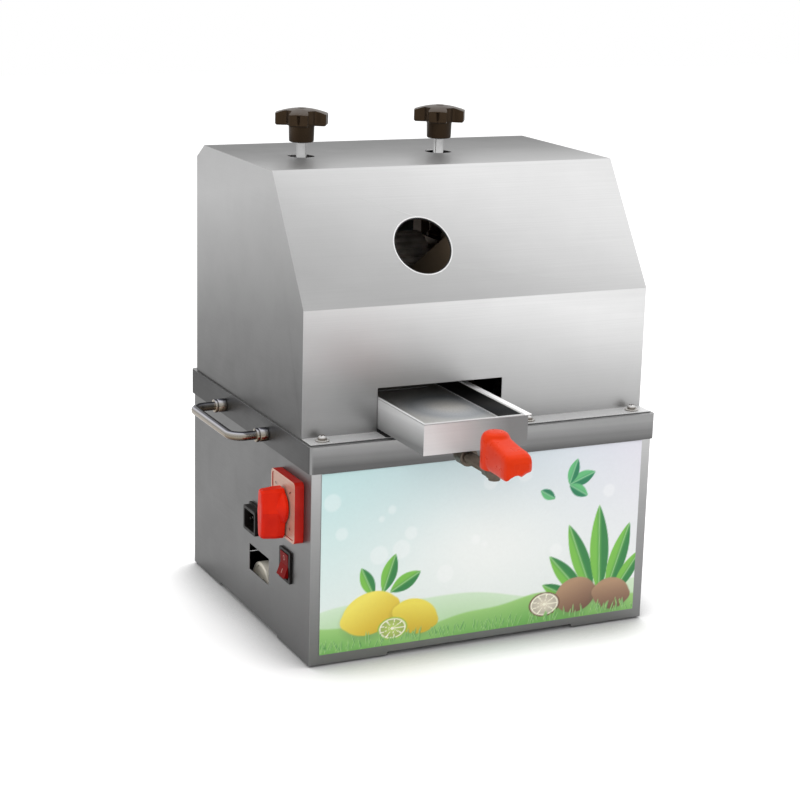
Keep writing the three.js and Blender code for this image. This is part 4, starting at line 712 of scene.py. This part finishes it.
FOOT_X, FOOT_Y = 164, 141
for end, sy in (("front", -1), ("rear", 1)):
    for side, sx in (("left", -1), ("right", 1)):
        rubber_foot(end, side, sx * FOOT_X, sy * FOOT_Y)


# Cane inlet and tray strip

def inlet_ring(name, radius, tube, lift, material):
    """Round bead on the cane inlet's rim, in the plane of the sloped front."""
    centre = Vector((-52, -113.184, 419.689))
    normal = Vector(SLOPE).normalized()
    right = Vector(RIGHT)
    up = normal.cross(right)
    count, sides = 96, 12
    rings = []
    for i in range(count):
        a = 2 * math.pi * i / count
        out = right * math.cos(a) + up * math.sin(a)
        ring = []
        for k in range(sides):
            b = 2 * math.pi * k / sides
            p = centre + out * (radius + tube * math.cos(b)) + normal * (lift + tube * math.sin(b))
            ring.append(at(*p))
        rings.append(ring)
    rings.append(rings[0])
    new_object(name, *rings_mesh(rings, False), material, "frame", 60)


def slot_shadow_sheet():
    """Thin black sheet of painted shadow under the tray, on the hood's front and flange, where the slot's
    opening lies in shade.
    """
    left, right, back = -115.6, -14, -149.1
    upright = slab(left, right, -149.7, back, 236.4, 239.4)
    lying = slab(left, right, -171.6, back, 236.5, 237.0)
    # Painted shadow: a black sheet in the rubber material, standing for the dark opening below the tray.
    new_object("slot_shadow_strip", *merged(upright, lying), rubber, "frame", 0)


slot_shadow_sheet()
# A black ring just inside the inlet's rim, in the rubber material.
inlet_ring("inlet_dark_edge", 31.4, 0.8, -0.6, rubber)
# Bright lip: a real bead with a painted highlight in its colour.
inlet_ring("inlet_bright_lip", 32.5, 0.75, 0.0, lip_steel)


# Tap and drain

TAP_X, TAP_Y, PIPE_Z = -60.0, -302.0, 231.0


def lever_grip():
    """Skin of the grip: rounded squares from the stem forward; the lower right edge rises at the end."""
    squareness, raise_by, raise_from, raise_over = 0.42, 8.0, 24, 16
    stations = [
        (0, 13.6, 234.6, 269.0), (12, 13.4, 234.4, 267.5), (22, 13.6, 234.2, 265.5),
        (32, 14.2, 234.0, 263.8), (40, 14.9, 234.0, 262.8), (46, 14.8, 234.2, 261.0),
        (50, 13.4, 235.0, 258.5), (52.5, 9.0, 238.0, 254.0)]  # (reach, half width, low, high)
    count = 40
    rings = []
    for reach, half, low, high in stations:
        middle, tall = (low + high) / 2, (high - low) / 2
        ring = []
        for k in range(count):
            a = 2 * math.pi * k / count
            u, v = (math.copysign(abs(c) ** squareness, c) for c in (math.cos(a), math.sin(a)))
            near_end = min(1, max(0, (reach - raise_from) / raise_over))
            lift = raise_by * min(1, max(0, u + 0.35)) * max(0, -v) * near_end
            ring.append(at(TAP_X + half * u, TAP_Y - reach, middle + tall * v + lift))
        rings.append(ring)
    return rings_mesh(rings)


def tap_lever():
    """Moulded lever: a domed hub over the stem, a broad grip that slopes forward, and an open underside."""
    x, y = TAP_X, TAP_Y
    hub = turned([(13.6, 234.6), (14.6, 236), (14.8, 262), (14.1, 266.5), (12, 270), (8.5, 272),
                  (3, 272.5)], (x, y, 0), UP, 40)
    obj = new_object("tap_lever_moulding", *merged(hub, lever_grip()), tap_red, "tap_handle", 60)
    fused(obj, 0.0008, 3)
    carve(obj, turned([(11.8, 230), (11.8, 254)], (x, y, 0), UP, 40))
    carve(obj, slab(x - 9.8, x + 34, y - 9.8, y + 34, 230, 240.6))
    carve(obj, swept([(x - 3.6, y - 58, 233.5), (x - 3.6, y - 22, 233.5)], 8.6, 32))
    fused(obj, 0.0006, 6)
    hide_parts("tap_lever")
    spindle = turned([(3.2, 250.3), (3.2, 256)], (x, y, 0), UP, 24)
    new_object("tap_spindle", *spindle, screw_steel, "tap_handle", 40)


def tap_casting():
    """Valve body: a round casting with its spout below, a hexagon above and a hexagon on the pipe."""
    centre = (TAP_X, TAP_Y, PIPE_Z)
    forms = merged(
        turned([(4, -6), (8, -5), (9.2, -2), (9.4, 0), (9, 3), (6.6, 7), (3, 9.2)], centre, UP, 40),
        turned([(5.4, 0), (5.4, 6), (6.0, 6.5), (6.0, 8)], centre, DOWN, 32),
        turned([(7.4, 0), (7.4, 19)], centre, UP, 6),
        turned([(7.8, 3), (8.2, 4), (8.2, 15), (7.4, 16), (6, 16)], centre, BACK, 6))
    obj = new_object("tap_casting", *forms, brass, "tray", 60)
    fused(obj, 0.0005, 2)
    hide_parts("valve_body")


def threaded_nipple():
    """Pipe from the elbow to the tap, threaded over its whole length."""
    front_y, length, pitch = -294.5, 53.2, 1.7
    end, core, crest = 6.0, 5.6, 6.2
    profile = [(end, 0)]
    h = 0.5
    while h < length - pitch:
        profile += [(core, h), (crest, h + 0.6), (crest, h + 0.9), (core, h + 1.5)]
        h += pitch
    profile.append((end, length))
    skin = turned(profile, (TAP_X, front_y, PIPE_Z), BACK, 40)
    pipe = new_object("threaded_nipple", *skin, brass, "tray", 50)
    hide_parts("drain_nipple")


def drain_casting():
    """Elbow with a flange below the tray's floor and a nut above it."""
    centre = (TAP_X, -235.0, PIPE_Z)
    forms = merged(
        turned([(3, -9.6), (7, -7.2), (9.6, -3), (10, 0), (9.6, 3), (7, 7.2), (3, 9.6)], centre, UP, 36),
        turned([(9.6, 0), (9.8, 12.6), (9.2, 14)], centre, FRONT, 36),
        turned([(8, 0), (8, 5), (11, 6), (11, 8.7)], centre, UP, 36),
        turned([(7, 8), (7, 12)], centre, UP, 24),
        turned([(12, 10.6), (12, 13.4), (11, 13.5)], centre, UP, 6))
    obj = new_object("drain_casting", *forms, brass, "tray", 60)
    fused(obj, 0.0006, 2)
    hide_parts("drain_elbow")


tap_lever()
tap_casting()
threaded_nipple()
drain_casting()


# Switches

SWITCH_Y, SWITCH_Z = -124.5, 160.5


def rotary_knob():
    """Bar knob on a conical boss; each side of the bar breaks at mid height and leans in outwards."""
    plate_x = -208.6
    axis_foot = (plate_x, SWITCH_Y, SWITCH_Z)
    boss = turned([(16, 0), (18, 0), (18.5, 1), (18.5, 3.5), (17, 5.5), (12, 9), (8.5, 14), (5, 15)],
                  axis_foot, LEFT, 56)
    half = [(-33.0, 5.0), (-29.5, 8.4), (-4.0, 12.4), (17.5, 8.6), (20.4, 6.0)]
    outline = [(-w, h) for h, w in half] + [(w, h) for h, w in reversed(half)]
    rings = []
    for out, long, wide in ((0.6, 1.0, 1.0), (9.0, 1.0, 0.96), (22.0, 0.97, 0.72), (24.4, 0.93, 0.58),
                            (25.0, 0.88, 0.4)):
        rings.append([at(plate_x - out, SWITCH_Y + w * wide, SWITCH_Z + h * long) for w, h in outline])
    obj = new_object("rotary_knob_moulding", *merged(boss, rings_mesh(rings)), red_plastic,
                     "switch_knob_set", 5)
    rounded(obj, 0.0009, 24, 3).harden_normals = True
    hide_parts("switch_knob")
    spindle = turned([(4, -22), (4, 2)], axis_foot, LEFT, 24)
    new_object("rotary_spindle", *spindle, screw_steel, "switch_knob_set", 40)


def flat_bar(x, y, z, dy, dz, turn=0.0, thick=0.25):
    """A thin bar lying on a face that looks to -X; sizes in mm."""
    c, s = math.cos(turn), math.sin(turn)
    points = []
    for out in (0.0, thick):
        for u, v in ((-1, -1), (1, -1), (1, 1), (-1, 1)):
            a, b = u * dy / 2, v * dz / 2
            points.append(at(x - out, y + a * c - b * s, z + a * s + b * c))
    return points, [(0, 1, 2, 3), (7, 6, 5, 4), (0, 4, 5, 1), (1, 5, 6, 2), (2, 6, 7, 3), (3, 7, 4, 0)]


def dial_marks():
    """Short bars in a ring round the rotary knob."""
    face_x, ring, wide, long = -208.25, 27.2, 1.0, 3.4
    bars = []
    for degrees in (-135, -45, 45, 90, 135):
        a = math.radians(degrees)
        y, z = SWITCH_Y + ring * math.sin(a), SWITCH_Z + ring * math.cos(a)
        bars.append(flat_bar(face_x, y, z, wide, long, -a))
    new_object("dial_marks", *merged(*bars), dark_mark, "frame", 0)


def rocker_marks():
    """A bar and a ring on the rocker's two halves."""
    tilt = math.radians(9)
    pivot = Vector((-195.3, -112, 91.5))
    crease, slope, above = 5.6, 2.6 / 12.8, 0.12

    def on_face(dy, along):
        """Point on the rocker's face: the face is two slopes that meet over the pivot."""
        depth = -(crease + slope * abs(along) + above)
        x = depth * math.cos(tilt) + along * math.sin(tilt)
        z = -depth * math.sin(tilt) + along * math.cos(tilt)
        return at(pivot.x + x, pivot.y + dy, pivot.z + z)

    bar = [on_face(u, v) for u, v in ((-0.7, -9.4), (0.7, -9.4), (0.7, -4.6), (-0.7, -4.6))]
    middle, outer, inner, count = 7, 2.6, 1.7, 24
    ring = []
    for k in range(count):
        a = 2 * math.pi * k / count
        ring += [on_face(r * math.cos(a), middle + r * math.sin(a)) for r in (outer, inner)]
    faces = [(2 * k, 2 * ((k + 1) % count), 2 * ((k + 1) % count) + 1, 2 * k + 1) for k in range(count)]
    new_object("rocker_marks", *merged((bar, [(0, 1, 2, 3)]), (ring, faces)), white_mark, "rocker_set", 0)


def run_capacitor():
    """Cream can with a rolled end and two pairs of flat terminals."""
    x0, y, z, r, length = -187.6, -10.0, 33.1, 26.0, 94.0
    profile = [(3, 1.6), (r - 5, 1.6), (r - 4, 0.2), (r - 1.6, 0), (r - 0.3, 0.8), (r, 2.4),
               (r, length - 3), (r - 0.8, length - 0.8), (r - 2, length)]
    obj = new_object("capacitor_can", *turned(profile, (x0, y, z), RIGHT, 64), cream, "frame", 40)
    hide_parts("run_capacitor")
    blades = []
    for dy in (-9, 9):
        for apart in (-1.6, 1.6):
            blades.append(flat_bar(x0 + 1.4, y + dy + apart, z + 6, 0.8, 6.3, thick=9.0))
    new_object("capacitor_terminals", *merged(*blades), screw_steel, "frame", 0)


rotary_knob()
dial_marks()
rocker_marks()
run_capacitor()


# Front print

def tone(r, g, b):
    return np.array([r, g, b], float)


def step(edge, value, soft):
    """1 where the value is below the edge, 0 above it, soft between."""
    return np.clip((edge - value) / soft + 0.5, 0, 1)[..., None]


class Picture:
    """A picture in sRGB levels, a point for each mm; a new shape covers what is there."""

    def __init__(self, width, height):
        self.u, self.v = np.meshgrid(np.arange(width, dtype=float), np.arange(height, dtype=float))
        s, t = (self.u / width)[..., None], (self.v / height)[..., None]
        sky = tone(190, 224, 224) * (1 - s) + tone(226, 224, 234) * s
        self.levels = sky * t + tone(238, 243, 238) * (1 - t)

    def cover(self, mask, colour):
        self.levels = self.levels * (1 - mask) + colour * mask

    def within(self, x, y, angle, length, width):
        """Places along and across a form at (x, y), in shares of its length and width."""
        c, s = math.cos(angle), math.sin(angle)
        along = ((self.u - x) * c + (self.v - y) * s) / length
        across = (-(self.u - x) * s + (self.v - y) * c) / width
        return along, across

    def hills(self, base, amp, period, phase, top, bottom, alpha=1.0):
        line = base + amp * np.sin(self.u / period + phase)
        line = line + 0.3 * amp * np.sin(self.u / (period * 0.37) + 2 * phase)
        depth = np.clip((line - self.v) / 30, 0, 1)[..., None]
        self.cover(step(line, self.v, 2.0) * alpha, top * (1 - depth) + bottom * depth)

    def leaf(self, x, y, length, width, angle, light, dark):
        a, b = self.within(x, y, angle, length, width)
        shape = np.sin(np.pi * np.clip(a, 0, 1)) ** 0.8 - np.abs(b)
        mask = np.where((a > 0) & (a < 1), np.clip(shape * width / 0.9, 0, 1), 0)[..., None]
        half = np.clip(0.5 + b * 1.6, 0, 1)[..., None]
        vein = np.exp(-(b * width / 0.7) ** 2)[..., None] * 0.5
        blade = light * half + dark * (1 - half)
        self.cover(mask, blade * (1 - vein) + tone(230, 244, 206) * vein)

    def fruit(self, x, y, length, width, angle, light, dark):
        """A round fruit with a small tip at each end, over its soft shadow."""
        a, b = self.within(x, y, angle, length, width)
        tip = 1 + 0.13 * np.exp(-((np.abs(a) - 1) / 0.12) ** 2) * np.exp(-(b / 0.25) ** 2)
        lit = np.clip(0.62 + 0.5 * (b - 0.4 * a), 0, 1)[..., None]
        self.cover(step(1.0, np.hypot(a + 0.05, b + 0.2), 0.35) * 0.22, tone(70, 96, 60))
        self.cover(step(1.0, np.hypot(a, b) / tip, 0.05), light * lit + dark * (1 - lit))

    def slice_of(self, x, y, radius, rind, flesh):
        """A cut fruit at a slant: rind, pith and nine wedges."""
        squash = 0.72
        dx, dy = (self.u - x) / radius, (self.v - y) / (radius * squash)
        d = np.hypot(dx, dy)
        wedge = np.abs(np.sin(np.arctan2(dy, dx) * 4.5)) > 0.22
        self.cover(step(1.0, d, 0.05), rind)
        self.cover(step(0.9, d, 0.05), tone(250, 246, 226))
        self.cover(step(0.8, d, 0.05) * (wedge & (d > 0.12))[..., None], flesh * (1 - 0.25 * d[..., None]))


def print_design(width, height):
    """A generic picture for the cabinet's front: pale sky, soft hills, fruit, leaves and drops."""
    picture = Picture(width, height)
    u, v = picture.u, picture.v
    glow = np.exp(-(((u - 190) / 105) ** 2 + ((v - 90) / 62) ** 2))[..., None]
    picture.cover(glow * 0.8, tone(248, 249, 246))
    rng = np.random.default_rng(7)
    for _ in range(16):
        x, y, radius = rng.uniform(10, 365), rng.uniform(70, 182), rng.uniform(3, 11)
        picture.cover(step(radius, np.hypot(u - x, v - y), 2.5) * 0.28, tone(255, 255, 255))
    picture.hills(40, 10, 70, 0.4, tone(206, 232, 196), tone(176, 216, 160), 0.8)
    picture.hills(24, 8, 44, 2.2, tone(158, 206, 120), tone(110, 176, 84))

    green, deep = tone(120, 190, 70), tone(40, 128, 62)
    for row in ((322, 22, 92, 11, 1.95), (330, 22, 104, 12, 1.62), (338, 22, 84, 11, 1.25),
                (346, 20, 60, 9, 0.95), (312, 22, 70, 10, 2.3), (300, 20, 48, 8, 2.65)):
        picture.leaf(*row, green, deep)
    brown, tan = tone(112, 78, 62), tone(176, 140, 108)
    picture.fruit(300, 26, 25, 20, 0.1, tan, brown)
    picture.fruit(345, 22, 23, 18, -0.2, tan, brown)
    picture.slice_of(262, 20, 19, brown, tone(236, 226, 204))
    for row in ((78, 58, 40, 9, 0.5), (70, 58, 44, 9, 1.25), (60, 56, 36, 8, 2.0)):
        picture.leaf(*row, green, deep)
    picture.fruit(56, 38, 32, 23, 0.25, tone(244, 228, 96), tone(214, 176, 40))
    picture.fruit(108, 28, 26, 19, -0.35, tone(240, 222, 84), tone(206, 170, 36))
    picture.slice_of(82, 18, 17, tone(150, 190, 60), tone(196, 220, 110))
    for row in ((286, 152, 34, 8, 0.35), (286, 152, 30, 7, 1.25), (286, 152, 28, 7, -0.55),
                (270, 138, 22, 6, 2.6)):
        picture.leaf(*row, tone(96, 186, 120), tone(22, 124, 82))
    blades = np.random.default_rng(3)
    for _ in range(150):
        picture.leaf(blades.uniform(0, 374), blades.uniform(-3, 5), blades.uniform(8, 17), 1.4,
                     blades.uniform(1.1, 2.0), tone(112, 182, 66), tone(48, 126, 44))
    return decoded(np.clip(picture.levels, 0, 255))


def print_material():
    """Printed vinyl: the design's colours with a faint fibre, under a thin coat."""
    m = Material("print_vinyl", Coat_Weight=0.15, Coat_Roughness=0.2)
    design = m.node("ShaderNodeAttribute", attribute_name="design")
    fibre = m.noise(m.coords(), 260.0, 4.0, 0.6)
    m.set("Base Color", m.mix(m.span(fibre, 0.3, 0.7, 0.0, 0.03), design.outputs["Color"], grey(120)))
    m.set("Roughness", m.span(fibre, 0.3, 0.7, 0.38, 0.5))
    m.bump(m.noise(m.coords(), 40.0, 2.0), 0.03, 0.0004)
    return m.data


def front_print():
    """Thin sheet on the cabinet's front, with a point for each mm of the design."""
    left, right, bottom, top = -187, 187, 13, 206
    front, back = -175.95, -175.35
    back_tone = 0.8
    w, h = right - left + 1, top - bottom + 1
    points = [at(left + i, front, bottom + j) for j in range(h) for i in range(w)]
    faces = [(j * w + i, j * w + i + 1, (j + 1) * w + i + 1, (j + 1) * w + i)
             for j in range(h - 1) for i in range(w - 1)]
    rim = list(range(w)) + [j * w + w - 1 for j in range(1, h)]
    rim += [(h - 1) * w + i for i in range(w - 2, -1, -1)] + [j * w for j in range(h - 2, 0, -1)]
    start, count = len(points), len(rim)
    for index in rim:
        j, i = divmod(index, w)
        points.append(at(left + i, back, bottom + j))
    for k in range(count):
        n = (k + 1) % count
        faces.append((rim[n], rim[k], start + k, start + n))
    faces.append(tuple(start + k for k in reversed(range(count))))
    obj = new_object("front_print_sheet", points, faces, print_material(), "frame", 0)
    rgba = np.ones((len(points), 4), np.float32)
    rgba[:start, :3] = print_design(w, h).reshape(-1, 3)
    rgba[start:, :3] = back_tone
    attribute = obj.data.color_attributes.new(name="design", type="FLOAT_COLOR", domain="POINT")
    attribute.data.foreach_set("color", rgba.ravel())
    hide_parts("front_print")


front_print()


# Stage, lights and camera

def stage():
    """White floor, a little darker where the object shades it."""
    size, shade_reach = 6.0, 0.075
    corners = [(-size, -size, 0), (size, -size, 0), (size, size, 0), (-size, size, 0)]
    floor = bare_object("studio_floor", corners, [(0, 1, 2, 3)])
    m = Material("studio_floor_white", Roughness=0.9, Specular_IOR_Level=0.1)
    nearby = m.node("ShaderNodeAmbientOcclusion", samples=8)
    m.put(nearby.inputs["Distance"], shade_reach)
    openness = nearby.outputs["AO"]
    m.set("Base Color", m.grey_of(m.span(openness, 0.5, 0.9, 0.62, 0.86)))
    glow = m.node("ShaderNodeEmission", WHITE)
    path = m.node("ShaderNodeLightPath")
    lit = m.span(openness, 0.52, 0.97, 0.0, 0.34)
    m.put(glow.inputs["Strength"], m.math("MULTIPLY", path.outputs["Is Camera Ray"], lit))
    both = m.node("ShaderNodeAddShader", m.bsdf.outputs[0], glow.outputs[0])
    m.put(m.output.inputs[0], both.outputs[0])
    floor.data.materials.append(m.data)


def world():
    """White for the camera, and for the light a sky that is darkest just below the horizon."""
    horizon = [(0.0, 0.8), (0.48, 0.55), (0.52, 0.72), (0.62, 0.95), (1.0, 1.0)]
    strength = 0.95
    studio = bpy.data.worlds.new("studio")
    bpy.context.scene.world = studio
    studio.use_nodes = True
    tree = studio.node_tree
    tree.nodes.clear()
    node, link = tree.nodes.new, tree.links.new
    split = node("ShaderNodeSeparateXYZ")
    link(node("ShaderNodeTexCoord").outputs["Generated"], split.inputs[0])
    height = node("ShaderNodeMapRange")
    height.inputs["From Min"].default_value = -1.0
    link(split.outputs["Z"], height.inputs["Value"])
    ramp = node("ShaderNodeValToRGB")
    link(height.outputs[0], ramp.inputs[0])
    while len(ramp.color_ramp.elements) < len(horizon):
        ramp.color_ramp.elements.new(0.5)
    for element, (position, value) in zip(ramp.color_ramp.elements, horizon):
        element.position = position
        element.color = (value, value, value, 1)
    ambient = node("ShaderNodeBackground")
    ambient.inputs["Strength"].default_value = strength
    link(ramp.outputs[0], ambient.inputs["Color"])
    white = node("ShaderNodeBackground")
    white.inputs["Color"].default_value = WHITE
    mix = node("ShaderNodeMixShader")
    link(node("ShaderNodeLightPath").outputs["Is Camera Ray"], mix.inputs[0])
    link(ambient.outputs[0], mix.inputs[1])
    link(white.outputs[0], mix.inputs[2])
    link(mix.outputs[0], node("ShaderNodeOutputWorld").inputs[0])


def lamp(name, place, target, size, energy):
    """Soft lamp that leaves no highlight; places in metres, energy in watts."""
    data = bpy.data.lights.new(name, "AREA")
    data.shape = "RECTANGLE"
    data.size, data.size_y = size
    data.energy = energy
    obj = linked(name, data)
    obj.location = place
    obj.rotation_mode = "QUATERNION"
    obj.rotation_quaternion = (Vector(target) - Vector(place)).to_track_quat("-Z", "Y")
    obj.visible_glossy = False


def camera():
    """The photograph's camera, which looks at a point inside the object."""
    azimuth, elevation, roll = (math.radians(d) for d in (-26.287, 14.53, 1.745))
    target, distance = at(14.0, -6.8, 223.9), 2.2052
    image_width, focal_length, middle_column = 800, 1980.8, 430  # pixels of the photograph
    sensor = 36
    back = Vector((math.sin(azimuth) * math.cos(elevation), -math.cos(azimuth) * math.cos(elevation),
                   math.sin(elevation)))
    level = Vector((math.cos(azimuth), math.sin(azimuth), 0))
    upright = back.cross(level)
    x = level * math.cos(roll) + upright * math.sin(roll)
    y = upright * math.cos(roll) - level * math.sin(roll)
    data = bpy.data.cameras.new("camera")
    data.sensor_width = sensor
    data.lens = focal_length * sensor / image_width
    data.shift_x = (image_width / 2 - middle_column) / image_width
    data.clip_end = 50
    obj = linked("camera", data)
    pose = Matrix((x, y, back)).transposed().to_4x4()
    pose.translation = target + back * distance
    obj.matrix_world = pose
    bpy.context.scene.camera = obj


stage()
world()
lamp("top", (0.35, 0.75, 2.4), (0, 0.05, 0.1), (1.5, 1.2), 26)
lamp("front", (-1.3, -1.9, 1.5), (0, 0, 0.25), (1.4, 1.2), 9)
camera()
bpy.context.scene.view_settings.view_transform = "Standard"
